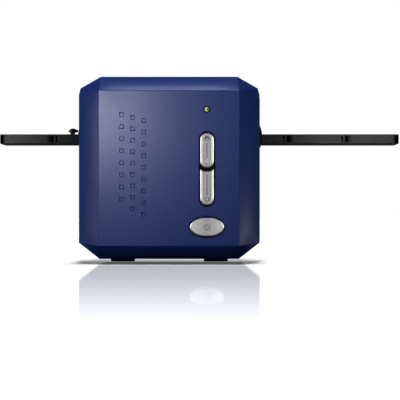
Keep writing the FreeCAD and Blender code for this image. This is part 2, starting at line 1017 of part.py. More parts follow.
def upper_shell():
    """The casing above the seam, with a lap inside its rim and four screw columns."""
    upper = casing_tube().common(
        block(-case_width, case_width, fascia_end_y, half_depth, seam_z, case_roof + overrun)
    )
    lap = casing_ring(case_wall / 2 - lap_gap, case_wall, fascia_end_y - overrun, half_depth + overrun)
    lap_zone = block(
        -case_width, case_width, -case_depth, case_depth, seam_z - overrun, seam_z + lap_height + lap_gap
    )
    upper = upper.cut(lap.common(lap_zone))
    columns = []
    bores = []
    column_low = seam_z + sliding_gap
    for x, y in column_places():
        column = post(column_radius, Vector(x, y, column_low), Z_AXIS, case_roof - column_low)
        columns.append(inside_casing(column))
        bores.append(post(pilot_radius, Vector(x, y, column_low - overrun), Z_AXIS, pilot_depth + overrun))
    return joined([upper] + columns).cut(bores + [slot_cut()] + side_seam_grooves())


def base_shell():
    """The casing below the seam: tongue, screw columns and seats for the chassis."""
    lower = casing_tube().common(
        block(-case_width, case_width, fascia_end_y, half_depth, case_floor - overrun, seam_z)
    )
    tongue = casing_ring(case_wall / 2, case_wall, fascia_end_y, half_depth)
    tongue = tongue.common(
        block(-case_width, case_width, fascia_end_y, half_depth, seam_z, seam_z + lap_height)
    )
    pieces = [lower, tongue]
    cuts = [slot_cut()] + side_seam_grooves()
    for x, y in column_places():
        column = post(column_radius, Vector(x, y, case_floor), Z_AXIS, seam_z - case_floor)
        pieces.append(inside_casing(column))
        start = Vector(x, y, case_floor - overrun)
        driver_way = seam_z - column_web - case_floor + overrun
        cuts.append(post(driver_bore_radius, start, Z_AXIS, driver_way))
        cuts.append(post(case_screw_radius + seat_gap, start, Z_AXIS, case_height))
    for x, y in chassis_screw_places():
        start = Vector(x, y, case_floor + case_wall / 2)
        boss = post(chassis_boss_radius, start, Z_AXIS, chassis_low - start.z)
        pieces.append(inside_casing(boss))
        bore = Vector(x, y, chassis_low - chassis_screw_depth)
        cuts.append(post(chassis_screw_radius, bore, Z_AXIS, chassis_screw_depth + overrun))
    return joined(pieces).cut(cuts)


def case_screws():
    """Four screws that reach up from the base columns into the upper ones."""
    screws = []
    seat = seam_z - column_web
    for x, y in column_places():
        head_low = Vector(x, y, seat - case_screw_head_height)
        head = post(case_screw_head_radius, head_low, Z_AXIS, case_screw_head_height)
        shank = post(case_screw_radius, Vector(x, y, seat), Z_AXIS, case_screw_length)
        screws.append(head.fuse(shank))
    return Part.makeCompound(screws)


def rubber_feet():
    """Four turned feet with a rounded lower edge, glued under the casing."""
    profile = [
        Part.LineSegment(Vector(0, 0, 0), Vector(foot_radius - foot_edge, 0, 0)).toShape(),
        Part.Arc(
            Vector(foot_radius - foot_edge, 0, 0),
            Vector(
                foot_radius - foot_edge + foot_edge / math.sqrt(2), 0, foot_edge - foot_edge / math.sqrt(2)
            ),
            Vector(foot_radius, 0, foot_edge),
        ).toShape(),
        Part.LineSegment(Vector(foot_radius, 0, foot_edge), Vector(foot_radius, 0, foot_stand)).toShape(),
        Part.LineSegment(Vector(foot_radius, 0, foot_stand), Vector(0, 0, foot_stand)).toShape(),
        Part.LineSegment(Vector(0, 0, foot_stand), Vector(0, 0, 0)).toShape(),
    ]
    pattern = Part.Face(Part.Wire(profile)).revolve(Vector(0, 0, 0), Z_AXIS, 360)
    feet = []
    for x in (-foot_x, foot_x):
        for y in (-foot_y, foot_y):
            foot = pattern.copy()
            foot.translate(Vector(x, y, 0))
            feet.append(foot)
    return Part.makeCompound(feet)


def right_slot_bezel():
    """A domed collar that plugs into the side wall round the film slot."""
    half_length = slot_half_length + bezel_rim_y
    height = bezel_high - bezel_low
    middle = (bezel_low + bezel_high) / 2
    dome = Part.Wire(
        [
            Part.Arc(
                Vector(half_width, scan_y - half_length, bezel_low),
                Vector(half_width + bezel_bulge, scan_y - half_length, middle),
                Vector(half_width, scan_y - half_length, bezel_high),
            ).toShape(),
            Part.LineSegment(
                Vector(half_width, scan_y - half_length, bezel_high),
                Vector(half_width, scan_y - half_length, bezel_low),
            ).toShape(),
        ]
    )
    cover = Part.Face(dome).extrude(Vector(0, 2 * half_length, 0))
    outline = rounded_plate(
        -height / 2, height / 2, -half_length, half_length, half_width, half_width + bezel_bulge, bezel_corner
    )
    outline.rotate(Vector(0, 0, half_width), Y_AXIS, 90)
    outline.translate(Vector(half_width, scan_y, middle - half_width))
    cover = cover.common(outline)
    collar_half = slot_half_length + collar_wall - seat_gap
    collar = block(
        half_width - case_wall,
        half_width,
        scan_y - collar_half,
        scan_y + collar_half,
        slot_low - collar_wall + seat_gap,
        slot_high + collar_wall - seat_gap,
    )
    way = rounded_plate(
        slot_low - slot_high,
        0,
        -slot_half_length,
        slot_half_length,
        -case_wall - overrun,
        bezel_bulge + overrun,
        slot_corner,
    )
    way.rotate(Vector(0, 0, 0), Y_AXIS, 90)
    way.translate(Vector(half_width, scan_y, slot_low))
    return joined([cover, collar]).cut(way)


def left_slot_bezel():
    return mirrored_x(right_slot_bezel())


# Film holder


def frame_centres():
    first = holder_x - frame_pitch * (frame_count - 1) / 2
    return [first + index * frame_pitch for index in range(frame_count)]


def film_window(x, z0, z1, grow_low, grow_high):
    """An opening for one frame whose walls flare from the film outwards."""
    loops = []
    for z, grow in ((z0, grow_low), (z1, grow_high)):
        half_length = film_window_length / 2 + grow
        half_breadth = film_window_width / 2 + grow
        half_length = min(half_length, frame_pitch / 2 - window_bar_edge)
        corners = [
            Vector(x - half_length, scan_y - half_breadth, z),
            Vector(x + half_length, scan_y - half_breadth, z),
            Vector(x + half_length, scan_y + half_breadth, z),
            Vector(x - half_length, scan_y + half_breadth, z),
        ]
        loops.append(closed_wire(corners))
    return Part.makeLoft(loops, True, True)


def notch_cuts():
    """Slot and ramp at each frame, mirrored about the middle of the holder."""
    front = scan_y - holder_width / 2
    middle = (holder_low + holder_edge_drop + holder_top) / 2
    cuts = []
    for x in frame_centres():
        outward = 1 if x > holder_x else -1
        slot_x = x - outward * notch_offset
        centre = Vector(slot_x, front, middle)
        cuts.append(centred_block(centre, notch_slot_width, 2 * notch_depth, notch_height))
        near = slot_x + outward * (notch_slot_width / 2 + notch_rib_width)
        far = near + outward * ramp_length
        corners = [
            Vector(near, front, middle - notch_height / 2),
            Vector(near, front + ramp_depth, middle - notch_height / 2),
            Vector(far, front, middle - notch_height / 2),
        ]
        cuts.append(prism(corners, Vector(0, 0, notch_height)))
    return cuts


def hinge_pin_places():
    pin_y = scan_y + holder_width / 2 - holder_side_wall - hinge_inset
    pin_z = holder_top - hinge_inset + hinge_pin_radius / 2
    half_length = holder_length / 2 - hinge_pin_end_gap
    return [Vector(holder_x + side * half_length, pin_y, pin_z) for side in (-1, 1)]


def hinge_bores(grow):
    bores = []
    for outer_end, side in zip(hinge_pin_places(), (-1, 1)):
        start = outer_end - X_AXIS * side * (hinge_pin_length + grow)
        bores.append(post(hinge_pin_radius + grow, start, X_AXIS * side, hinge_pin_length + 2 * grow))
    return bores


def holder_base():
    """The tray of the film holder: film channel, windows, notches and lid pocket."""
    half_length = holder_length / 2
    half_breadth = holder_width / 2
    x0 = holder_x - half_length
    x1 = holder_x + half_length
    body = rounded_plate(
        x0, x1, scan_y - half_breadth, scan_y + half_breadth, holder_low, holder_top, holder_corner
    )
    edge = [
        Vector(x0 - overrun, scan_y - half_breadth - overrun, holder_low - overrun),
        Vector(x0 - overrun, scan_y - half_breadth + holder_edge_inset, holder_low - overrun),
        Vector(x0 - overrun, scan_y - half_breadth + holder_edge_inset, holder_low),
        Vector(x0 - overrun, scan_y - half_breadth, holder_low + holder_edge_drop),
        Vector(x0 - overrun, scan_y - half_breadth - overrun, holder_low + holder_edge_drop),
    ]
    chamfer = prism(edge, Vector(holder_length + 2 * overrun, 0, 0))
    cuts = [chamfer, chamfer.mirror(Vector(0, scan_y, 0), Y_AXIS)]
    for end, outward in ((x0, -1), (x1, 1)):
        corners = [
            Vector(end + outward * overrun, scan_y - holder_width, holder_low - overrun),
            Vector(end - outward * end_chamfer_length, scan_y - holder_width, holder_low - overrun),
            Vector(end - outward * end_chamfer_length, scan_y - holder_width, holder_low),
            Vector(end, scan_y - holder_width, holder_low + end_chamfer_height),
            Vector(end + outward * overrun, scan_y - holder_width, holder_low + end_chamfer_height),
        ]
        cuts.append(prism(corners, Vector(0, 2 * holder_width, 0)))
    pocket_x = half_length - holder_side_wall
    pocket_y = half_breadth - holder_side_wall
    floor_z = holder_low + holder_floor
    cuts.append(
        block(
            holder_x - pocket_x,
            holder_x + pocket_x,
            scan_y - pocket_y,
            scan_y + pocket_y,
            floor_z,
            holder_top + overrun,
        )
    )
    channel = film_width / 2
    cuts.append(
        block(
            holder_x - pocket_x,
            holder_x + pocket_x,
            scan_y - channel,
            scan_y + channel,
            floor_z - film_channel_depth,
            floor_z,
        )
    )
    for x in frame_centres():
        cuts.append(film_window(x, holder_low, floor_z, window_flare, 0))
    stem_end = Vector(latch_x, latch_y, floor_z - latch_stem_entry - seat_gap)
    cuts.append(post(latch_stem_radius + running_gap, stem_end, Z_AXIS, holder_thickness))
    cuts.extend(hinge_bores(running_gap))
    cuts.extend(notch_cuts())
    return body.cut(cuts)


def holder_lid():
    """The cover that nests in the holder's tray and presses the film flat."""
    half_length = holder_length / 2 - holder_side_wall - sliding_gap
    half_breadth = holder_width / 2 - holder_side_wall - sliding_gap
    low = holder_low + holder_floor + seat_gap
    top = holder_top
    body = block(
        holder_x - half_length,
        holder_x + half_length,
        scan_y - half_breadth,
        scan_y + half_breadth,
        low,
        top,
    )
    cuts = []
    for x in frame_centres():
        cuts.append(film_window(x, low, top, 0, window_flare))
    stem_way = Vector(latch_x, latch_y, holder_low)
    cuts.append(post(latch_stem_radius + running_gap, stem_way, Z_AXIS, case_height))
    cuts.extend(hinge_bores(running_gap))
    return body.cut(cuts)


def holder_hinge_pins():
    return Part.makeCompound(hinge_bores(0))


def holder_latch():
    """A turn latch: a stem through the lid under a domed oblong head with a flat wing."""
    stem_low = holder_low + holder_floor - latch_stem_entry
    head_low = holder_top + latch_gap
    tip_z = holder_top + latch_tip_rise
    right_z = holder_top + latch_right_rise
    y0 = latch_y - latch_half_length
    crown = [
        Vector(latch_x - latch_left, y0, tip_z),
        Vector(latch_x + latch_crown_offset, y0, latch_top),
        Vector(latch_x + latch_shoulder, y0, right_z),
    ]
    wing_top = Vector(latch_x + latch_right, y0, right_z)
    wing_low = Vector(latch_x + latch_right, y0, head_low + latch_gap)
    neck = Vector(latch_x, y0, head_low)
    edges = [
        Part.Arc(*crown).toShape(),
        Part.LineSegment(crown[2], wing_top).toShape(),
        Part.LineSegment(wing_top, wing_low).toShape(),
        Part.LineSegment(wing_low, neck).toShape(),
        Part.LineSegment(neck, crown[0]).toShape(),
    ]
    head = Part.Face(Part.Wire(edges)).extrude(Vector(0, 2 * latch_half_length, 0))
    plan = Part.Ellipse(Vector(0, 0, 0), latch_half_length, latch_right)
    plan_face = Part.Face(Part.Wire(plan.toShape()))
    plan_face.rotate(Vector(0, 0, 0), Z_AXIS, 90)
    plan_face.translate(Vector(latch_x, latch_y, stem_low))
    head = head.common(plan_face.extrude(Vector(0, 0, holder_thickness + latch_rise)))
    stem_length = head_low + latch_gap - stem_low
    stem = post(latch_stem_radius, Vector(latch_x, latch_y, stem_low), Z_AXIS, stem_length)
    return joined([head, stem])


# Chassis and drive


def chassis_screw_places():
    places = []
    for x in (-chassis_screw_x, chassis_screw_x):
        for y in (-chassis_screw_y, chassis_screw_y):
            places.append((x, y))
    return places


def tower_places():
    places = []
    for x in (-tower_x, tower_x):
        for y in (scan_y - tower_spread, scan_y + tower_spread):
            places.append((x, y))
    return places


def chassis():
    """The tray that carries rods, drive and film track."""
    floor = block(
        -chassis_half_width,
        chassis_half_width,
        -chassis_end_y,
        chassis_end_y,
        chassis_low,
        chassis_top,
    )
    window_x = chassis_half_width - chassis_window_side
    window_y = chassis_end_y - chassis_window_end
    window = block(
        -window_x,
        window_x,
        -window_y,
        window_y,
        chassis_low - overrun,
        chassis_top + overrun,
    )
    pieces = [floor.cut(window)]
    for y in (-chassis_end_y, chassis_end_y - chassis_end_wall):
        pieces.append(
            block(
                -chassis_end_half_width,
                chassis_end_half_width,
                y,
                y + chassis_end_wall,
                chassis_low,
                chassis_low + chassis_end_rise,
            )
        )
    plate = motor_size / 2 - motor_plate_margin
    pieces.append(
        block(
            -screw_x - plate,
            -screw_x + plate,
            chassis_end_y - chassis_end_wall,
            chassis_end_y,
            screw_z - plate,
            screw_z + plate,
        )
    )
    for x, y in tower_places():
        centre = Vector(x, y, (chassis_low + track_low) / 2)
        pieces.append(centred_block(centre, tower_size, tower_size, track_low - chassis_low))
    pieces.append(
        block(
            -screw_x - bearing_width / 2,
            -screw_x + bearing_width / 2,
            screw_front_y,
            screw_front_y + bearing_length,
            chassis_low,
            screw_z + screw_radius + bearing_roof,
        )
    )
    body = joined(pieces)
    cuts = []
    for x in (-rod_x, rod_x):
        start = Vector(x, -case_depth, rod_z)
        cuts.append(post(rod_radius + running_gap, start, Y_AXIS, 2 * case_depth))
    screw_start = Vector(-screw_x, screw_front_y - overrun, screw_z)
    cuts.append(post(screw_radius + running_gap, screw_start, Y_AXIS, case_depth))
    for x, y in chassis_screw_places():
        start = Vector(x, y, chassis_low - overrun)
        cuts.append(post(chassis_screw_radius + seat_gap, start, Z_AXIS, chassis_floor + 2 * overrun))
    return body.cut(cuts)


def chassis_screws():
    screws = []
    for x, y in chassis_screw_places():
        head = post(chassis_screw_head_radius, Vector(x, y, chassis_top), Z_AXIS, chassis_screw_head_height)
        start = Vector(x, y, chassis_low - chassis_screw_depth + seat_gap)
        shank = post(chassis_screw_radius - running_gap, start, Z_AXIS, chassis_top - start.z)
        screws.append(head.fuse(shank))
    return Part.makeCompound(screws)


def guide_rods():
    rods = []
    for x in (-rod_x, rod_x):
        start = Vector(x, -chassis_end_y, rod_z)
        rods.append(post(rod_radius, start, Y_AXIS, 2 * chassis_end_y))
    return Part.makeCompound(rods)


def lead_screw():
    """The drive screw, with the motor's thinner shaft at its rear end."""
    start = Vector(-screw_x, screw_front_y, screw_z)
    thick = post(screw_radius, start, Y_AXIS, chassis_end_y - screw_front_y)
    shaft_start = Vector(-screw_x, chassis_end_y, screw_z)
    thin = post(shaft_radius, shaft_start, Y_AXIS, motor_length - shaft_end_gap)
    return joined([thick, thin])


def stepper_motor():
    half = motor_size / 2
    body = rounded_plate(-half, half, -half, half, 0, motor_length, motor_corner)
    body.rotate(Vector(0, 0, 0), X_AXIS, -90)
    body.translate(Vector(-screw_x, chassis_end_y, screw_z))
    bore_start = Vector(-screw_x, chassis_end_y - overrun, screw_z)
    bore_length = overrun + motor_length - shaft_end_gap + seat_gap
    bore = post(shaft_radius + running_gap, bore_start, Y_AXIS, bore_length)
    return body.cut(bore)


def bush_places():
    """Front and rear bush centres on each rod, with the carriage at home."""
    front = carriage_front + bush_length
    rear = nut_y + bush_length / 2
    return [(x, y) for x in (-rod_x, rod_x) for y in (front, rear)]


def carriage_bushes():
    bushes = []
    for x, y in bush_places():
        start = Vector(x, y - bush_length / 2, rod_z)
        ring = post(bush_radius, start, Y_AXIS, bush_length)
        bushes.append(ring.cut(post(rod_radius + running_gap, start, Y_AXIS, bush_length)))
    return Part.makeCompound(bushes)


def mirror_corners(depth):
    """Ends of the mirror's face, in y and z, set back from its surface by a depth."""
    reach = mirror_length / 2 / math.sqrt(2)
    back = depth / math.sqrt(2)
    upper = (home_y - reach - back, optic_z + reach - back)
    lower = (home_y + reach - back, optic_z - reach - back)
    return upper, lower


def yz_prism(points, half_breadth):
    corners = [Vector(-half_breadth, y, z) for y, z in points]
    return prism(corners, Vector(2 * half_breadth, 0, 0))


def fold_mirror():
    upper, lower = mirror_corners(0)
    back_upper, back_lower = mirror_corners(mirror_thickness)
    return yz_prism([upper, lower, back_lower, back_upper], mirror_width / 2)


def nut_lug_y():
    return nut_y - nut_lug_thickness / 2


def carriage():
    """The moving tray: mirror seat, lens cradle, bush lugs and nut lug in one moulding."""
    top = carriage_low + carriage_height
    floor_top = carriage_low + carriage_floor
    outer = block(
        -carriage_half_width, carriage_half_width, carriage_front, carriage_rear, carriage_low, top
    )
    inner = block(
        -carriage_inner,
        carriage_inner,
        carriage_front + carriage_wall,
        carriage_rear - carriage_wall,
        floor_top,
        top + overrun,
    )
    pieces = [outer.cut(inner)]
    seat_upper, seat_lower = mirror_corners(mirror_thickness)
    seat = [
        seat_upper,
        seat_lower,
        (seat_lower[0], carriage_low),
        (seat_upper[0] - mirror_toe, carriage_low),
        (seat_upper[0] - mirror_toe, seat_upper[1]),
    ]
    pieces.append(yz_prism(seat, mirror_width / 2 - mirror_seat_step))
    cradle_top = optic_z - cradle_drop
    pieces.append(
        block(
            -cradle_half_width,
            cradle_half_width,
            cradle_y(),
            cradle_y() + cradle_length,
            carriage_low,
            cradle_top,
        )
    )
    for x, y in bush_places():
        inner_x = math.copysign(carriage_half_width, x)
        outer_x = math.copysign(carriage_half_width + lug_reach, x)
        pieces.append(
            block(
                min(inner_x, outer_x),
                max(inner_x, outer_x),
                y - bush_length / 2,
                y + bush_length / 2,
                rod_z - lug_height / 2,
                rod_z + lug_height / 2,
            )
        )
    pieces.append(
        block(
            -screw_x - nut_lug_margin,
            -carriage_half_width,
            nut_lug_y(),
            nut_lug_y() + nut_lug_thickness,
            screw_z - nut_lug_margin,
            screw_z + nut_lug_margin,
        )
    )
    flag_low = carriage_low
    pieces.append(
        block(
            home_sensor_x - flag_width / 2,
            home_sensor_x + flag_width / 2,
            carriage_front - flag_length,
            carriage_front,
            flag_low,
            flag_low + flag_height,
        )
    )
    body = joined(pieces)
    cuts = []
    for x, y in bush_places():
        start = Vector(x, y - bush_length / 2 - overrun, rod_z)
        cuts.append(post(bush_radius + running_gap, start, Y_AXIS, bush_length + 2 * overrun))
    for x in (-rod_x, rod_x):
        start = Vector(x, carriage_front - flag_length, rod_z)
        cuts.append(post(rod_radius + sliding_gap, start, Y_AXIS, case_depth))
    nut_start = Vector(-screw_x, nut_lug_y() - overrun, screw_z)
    cuts.append(post(nut_radius + running_gap, nut_start, Y_AXIS, nut_lug_thickness + 2 * overrun))
    lens_start = Vector(0, lens_y - overrun, optic_z)
    cuts.append(post(lens_radius + running_gap, lens_start, Y_AXIS, lens_length + 2 * overrun))
    return body.cut(cuts)


def cradle_y():
    return lens_y + lens_nose_length


def drive_nut():
    """A flanged nut pressed into the carriage's lug."""
    start = Vector(-screw_x, nut_lug_y() - nut_flange, screw_z)
    flange = post(nut_flange_radius, start, Y_AXIS, nut_flange)
    body = post(nut_radius, start, Y_AXIS, nut_length)
    bore = post(screw_radius + running_gap, start, Y_AXIS, nut_length)
    return joined([flange, body]).cut(bore)


def lens_barrel():
    """A stepped tube that holds the two lens glasses."""
    nose = post(lens_nose_radius, Vector(0, lens_y, optic_z), Y_AXIS, lens_length)
    body_start = Vector(0, lens_y + lens_nose_length, optic_z)
    body = post(lens_radius, body_start, Y_AXIS, lens_length - lens_nose_length)
    bore = post(lens_bore_radius, Vector(0, lens_y, optic_z), Y_AXIS, lens_length)
    return joined([nose, body]).cut(bore)


def lens_glasses():
    glasses = []
    rear_y = lens_y + lens_length - lens_glass_setback - lens_glass_thickness
    for y in (lens_y + lens_glass_setback, rear_y):
        start = Vector(0, y, optic_z)
        glasses.append(post(lens_bore_radius - running_gap, start, Y_AXIS, lens_glass_thickness))
    return Part.makeCompound(glasses)


def lens_clamp():
    """A bent strap that holds the barrel down in its cradle."""
    seat = optic_z - cradle_drop
    start = Vector(0, cradle_y(), optic_z)
    strap = post(lens_radius + running_gap + clamp_thickness, start, Y_AXIS, cradle_length)
    feet = block(
        -cradle_half_width,
        cradle_half_width,
        start.y,
        start.y + cradle_length,
        seat,
        seat + clamp_thickness,
    )
    body = joined([strap, feet])
    below = block(
        -case_width, case_width, -case_depth, case_depth, case_floor - case_height, seat
    )
    hollow = post(lens_radius + running_gap, start, Y_AXIS, cradle_length)
    return body.cut([hollow, below])


def sensor_board():
    rear = carriage_rear - carriage_wall
    half = sensor_board_width / 2
    middle = optic_z
    return block(
        -half,
        half,
        rear - board_thickness,
        rear,
        middle - sensor_board_height / 2,
        middle + sensor_board_height / 2,
    )


def line_sensor():
    rear = carriage_rear - carriage_wall - board_thickness
    centre = Vector(0, rear - sensor_thickness / 2, optic_z)
    front = Vector(0, rear - sensor_thickness, optic_z)
    window_length = sensor_length - 2 * sensor_window_end
    window = centred_block(front, window_length, sensor_window_depth, sensor_window_height)
    return centred_block(centre, sensor_length, sensor_thickness, sensor_height).cut(window)


def home_sensor():
    """A light gate that the carriage's flag stands in at home."""
    rear = carriage_front - home_sensor_clearance
    body = block(
        home_sensor_x - home_sensor_width / 2,
        home_sensor_x + home_sensor_width / 2,
        rear - home_sensor_length,
        rear,
        chassis_top,
        chassis_top + home_sensor_height,
    )
    gap = block(
        home_sensor_x - home_sensor_gap / 2,
        home_sensor_x + home_sensor_gap / 2,
        rear - home_sensor_length - overrun,
        rear + overrun,
        chassis_top + home_sensor_base,
        chassis_top + home_sensor_height + overrun,
    )
    return body.cut(gap)


# Film track and lamp


def rail_inner():
    return holder_width / 2 + sliding_gap


def film_track():
    """The trough that guides the holder, with a window over the optics."""
    half_length = half_width - case_wall - track_end_gap
    half_breadth = rail_inner() + track_rail
    body = block(
        -half_length,
        half_length,
        scan_y - half_breadth,
        scan_y + half_breadth,
        track_low,
        track_top + track_rail_height,
    )
    trough = block(
        -half_length - overrun,
        half_length + overrun,
        scan_y - rail_inner(),
        scan_y + rail_inner(),
        track_top,
        track_top + track_rail_height + overrun,
    )
    window = centred_block(
        Vector(0, scan_y, track_low), track_window_length, track_window_width, 4 * track_floor
    )
    nose_half = detent_nose_width / 2 + sliding_gap
    nose_way = block(
        -nose_half,
        nose_half,
        scan_y - half_breadth - overrun,
        scan_y - rail_inner() + overrun,
        track_top,
        track_top + track_rail_height + overrun,
    )
    return body.cut([trough, window, nose_way])


def detent_spring():
    """A leaf on the front rail whose bent nose points at the holder's notches."""
    rail_front = scan_y - rail_inner() - track_rail
    low = track_top + sliding_gap
    high = low + detent_height
    half = detent_length / 2
    nose = detent_nose_width / 2
    tip_y = scan_y - rail_inner()
    bend_y = rail_front - detent_thickness
    outline = [
        Vector(-half, rail_front, low),
        Vector(-half, bend_y, low),
        Vector(-nose, bend_y, low),
        Vector(0, tip_y - detent_thickness, low),
        Vector(nose, bend_y, low),
        Vector(half, bend_y, low),
        Vector(half, rail_front, low),
        Vector(nose, rail_front, low),
        Vector(0, tip_y, low),
        Vector(-nose, rail_front, low),
    ]
    return prism(outline, Vector(0, 0, high - low))


def lamp_outer_half():
    return rail_inner() + track_rail


def lamp_housing():
    """A bridge over the holder: two walls on the track's rails and a tray for the diffuser."""
    low = track_top + track_rail_height
    outer = block(
        -lamp_half_length,
        lamp_half_length,
        scan_y - lamp_outer_half(),
        scan_y + lamp_outer_half(),
        low,
        lamp_top,
    )
    passage = block(
        -lamp_half_length - overrun,
        lamp_half_length + overrun,
        scan_y - rail_inner(),
        scan_y + rail_inner(),
        low - overrun,
        lamp_low,
    )
    tray_x = lamp_half_length - lamp_wall
    tray = block(
        -tray_x,
        tray_x,
        scan_y - rail_inner(),
        scan_y + rail_inner(),
        lamp_low + lamp_floor,
        lamp_top + overrun,
    )
    window = centred_block(
        Vector(0, scan_y, lamp_low), track_window_length, track_window_width, 4 * lamp_floor
    )
    return outer.cut([passage, tray, window])


def lamp_diffuser():
    half_length = lamp_half_length - lamp_wall - seat_gap
    half_breadth = rail_inner() - seat_gap
    low = lamp_low + lamp_floor
    return block(
        -half_length, half_length, scan_y - half_breadth, scan_y + half_breadth, low, low + diffuser_thickness
    )


def lamp_board():
    return block(
        -lamp_half_length,
        lamp_half_length,
        scan_y - lamp_outer_half(),
        scan_y + lamp_outer_half(),
        lamp_top,
        lamp_top + board_thickness,
    )


def lamp_leds():
    """Rows of lamp chips under the lamp board."""
    z = lamp_top - lamp_led_height / 2
    chips = []
    for column in range(lamp_led_column_count):
        for row in range(lamp_led_row_count):
            x = (column - (lamp_led_column_count - 1) / 2) * lamp_led_pitch
            y = scan_y + (row - (lamp_led_row_count - 1) / 2) * lamp_led_pitch
            chips.append(centred_block(Vector(x, y, z), lamp_led_size, lamp_led_size, lamp_led_height))
    return Part.makeCompound(chips)


# Rear panel, sockets and main board


def main_board_posts():
    low = main_board_low + board_post_inset
    high = main_board_high - board_post_inset
    places = []
    for x in (main_board_x0 + board_post_inset, main_board_x1 - board_post_inset):
        for z in (low, high):
            places.append((x, z))
    return places


def socket_boxes(grow):
    """The two socket bodies in the rear panel, as x and z limits."""
    boxes = []
    for x, width, height in (
        (main_board_x1 - usb_inset, usb_width, usb_height),
        (main_board_x1 - power_socket_inset, power_socket_width, power_socket_height),
    ):
        side = width / 2 + grow
        rise = height / 2 + grow
        boxes.append((x - side, x + side, socket_z - rise, socket_z + rise))
    return boxes


def rear_panel():
    """The recessed back plate, with posts that carry the main board."""
    outline = inset_outline(case_outline(), case_wall + panel_gap)
    plate = section_prism(outline, panel_front_y, panel_rear_y)
    rim = inset_outline(case_outline(), case_wall + panel_gap + panel_rib_thickness)
    rib = section_prism(outline, panel_front_y - panel_rib_depth, panel_front_y)
    rib = rib.cut(section_prism(rim, panel_front_y - panel_rib_depth - overrun, panel_front_y + overrun))
    board_rear = main_board_y
    posts = []
    cuts = []
    for x, z in main_board_posts():
        start = Vector(x, board_rear, z)
        posts.append(post(board_post_radius, start, Y_AXIS, panel_front_y - board_rear))
        cuts.append(
            post(board_screw_radius, start - Y_AXIS * overrun, Y_AXIS, board_screw_length + overrun)
        )
    for x0, x1, z0, z1 in socket_boxes(socket_clearance):
        cuts.append(block(x0, x1, panel_front_y - overrun, half_depth, z0, z1))
    motor_half = motor_size / 2 + sliding_gap
    cuts.append(
        block(
            -screw_x - motor_half,
            -screw_x + motor_half,
            chassis_end_y,
            chassis_end_y + motor_length + sliding_gap,
            screw_z - motor_half,
            screw_z + motor_half,
        )
    )
    for x, y in column_places():
        away = Vector(x, y, case_floor)
        cuts.append(post(column_radius + sliding_gap, away, Z_AXIS, case_height))
    return joined([plate, rib] + posts).cut(cuts)


def main_board():
    board = block(
        main_board_x0, main_board_x1, main_board_front_y, main_board_y, main_board_low, main_board_high
    )
    holes = []
    for x, z in main_board_posts():
        start = Vector(x, main_board_front_y - overrun, z)
        holes.append(post(board_screw_radius + seat_gap, start, Y_AXIS, board_thickness + 2 * overrun))
    return board.cut(holes)


def main_board_screws():
    screws = [small_screw(Vector(x, main_board_front_y, z), Y_AXIS) for x, z in main_board_posts()]
    return Part.makeCompound(screws)


def board_chips():
    """Processor and memory on the front of the main board."""
    y = main_board_front_y - chip_height / 2
    z = socket_z + chip_rise - chip_small
    large_x = main_board_x1 - chip_inset
    small_x = main_board_x1 - small_chip_inset
    large = centred_block(Vector(large_x, y, z), chip_large, chip_height, chip_large)
    small = centred_block(Vector(small_x, y, z), chip_small, chip_height, chip_large)
    return Part.makeCompound([large, small])


def board_capacitors():
    cans = []
    for index in range(2):
        z = socket_z + capacitor_rise - index * capacitor_pitch
        start = Vector(main_board_x1 - capacitor_inset, main_board_front_y, z)
        cans.append(post(capacitor_radius, start, -Y_AXIS, capacitor_height))
    return Part.makeCompound(cans)


def usb_socket():
    """A square data socket with a central tongue and two bevelled upper corners."""
    x0, x1, z0, z1 = socket_boxes(0)[0]
    outline = [
        (x0, z0),
        (x1, z0),
        (x1, z1 - usb_corner),
        (x1 - usb_corner, z1),
        (x0 + usb_corner, z1),
        (x0, z1 - usb_corner),
    ]
    shell = section_prism(outline, main_board_y, panel_rear_y)
    hollow = section_prism(inset_outline(outline, usb_wall), main_board_y + usb_wall, panel_rear_y + overrun)
    centre = Vector((x0 + x1) / 2, (main_board_y + panel_rear_y) / 2, (z0 + z1) / 2)
    tongue_length = socket_depth - 2 * jack_pin_setback
    tongue = centred_block(centre, usb_tongue_width, tongue_length, usb_tongue_height)
    stem = block(
        centre.x - usb_tongue_width / 2,
        centre.x + usb_tongue_width / 2,
        main_board_y,
        centre.y,
        centre.z - usb_tongue_height / 2,
        centre.z + usb_tongue_height / 2,
    )
    return joined([shell.cut(hollow), tongue, stem])


def power_socket():
    """A barrel inlet with its centre pin."""
    x0, x1, z0, z1 = socket_boxes(0)[1]
    body = block(x0, x1, main_board_y, panel_rear_y, z0, z1)
    start = Vector((x0 + x1) / 2, main_board_y + jack_pin_setback, (z0 + z1) / 2)
    bore = post(jack_bore_radius, start, Y_AXIS, socket_depth)
    pin = post(jack_pin_radius, start, Y_AXIS, socket_depth - 2 * jack_pin_setback)
    return joined([body.cut(bore), pin])


# Flat cables


def bent_strip(path, normal_side, breadth_x0, breadth_x1):
    """A thin strip in x between two limits whose section follows a path in y and z."""
    back = []
    for index, here in enumerate(path):
        before = path[max(index - 1, 0)]
        after = path[min(index + 1, len(path) - 1)]
        along = Vector(0, after[0] - before[0], after[1] - before[1]).normalize()
        step = Vector(0, -along.z, along.y) * (normal_side * ribbon_thickness)
        back.append((here[0] + step.y, here[1] + step.z))
    outline = path + back[::-1]
    corners = [Vector(breadth_x0, y, z) for y, z in outline]
    return prism(corners, Vector(breadth_x1 - breadth_x0, 0, 0))


def front_ribbon():
    """The flat cable from the front board over the lamp to the main board."""
    lip_low = case_roof - case_wall - sliding_gap - lip_thickness
    roof = lip_low - ribbon_roof_gap
    start_y = front_board_y + board_thickness
    end_y = main_board_front_y
    high = front_board_high - board_post_inset
    end_z = main_board_high - board_post_inset
    path = [
        (start_y, high),
        (start_y, roof),
        (end_y, roof),
        (end_y, end_z),
    ]
    half = ribbon_width / 2
    return bent_strip(path, -1, control_x - half, control_x + half)


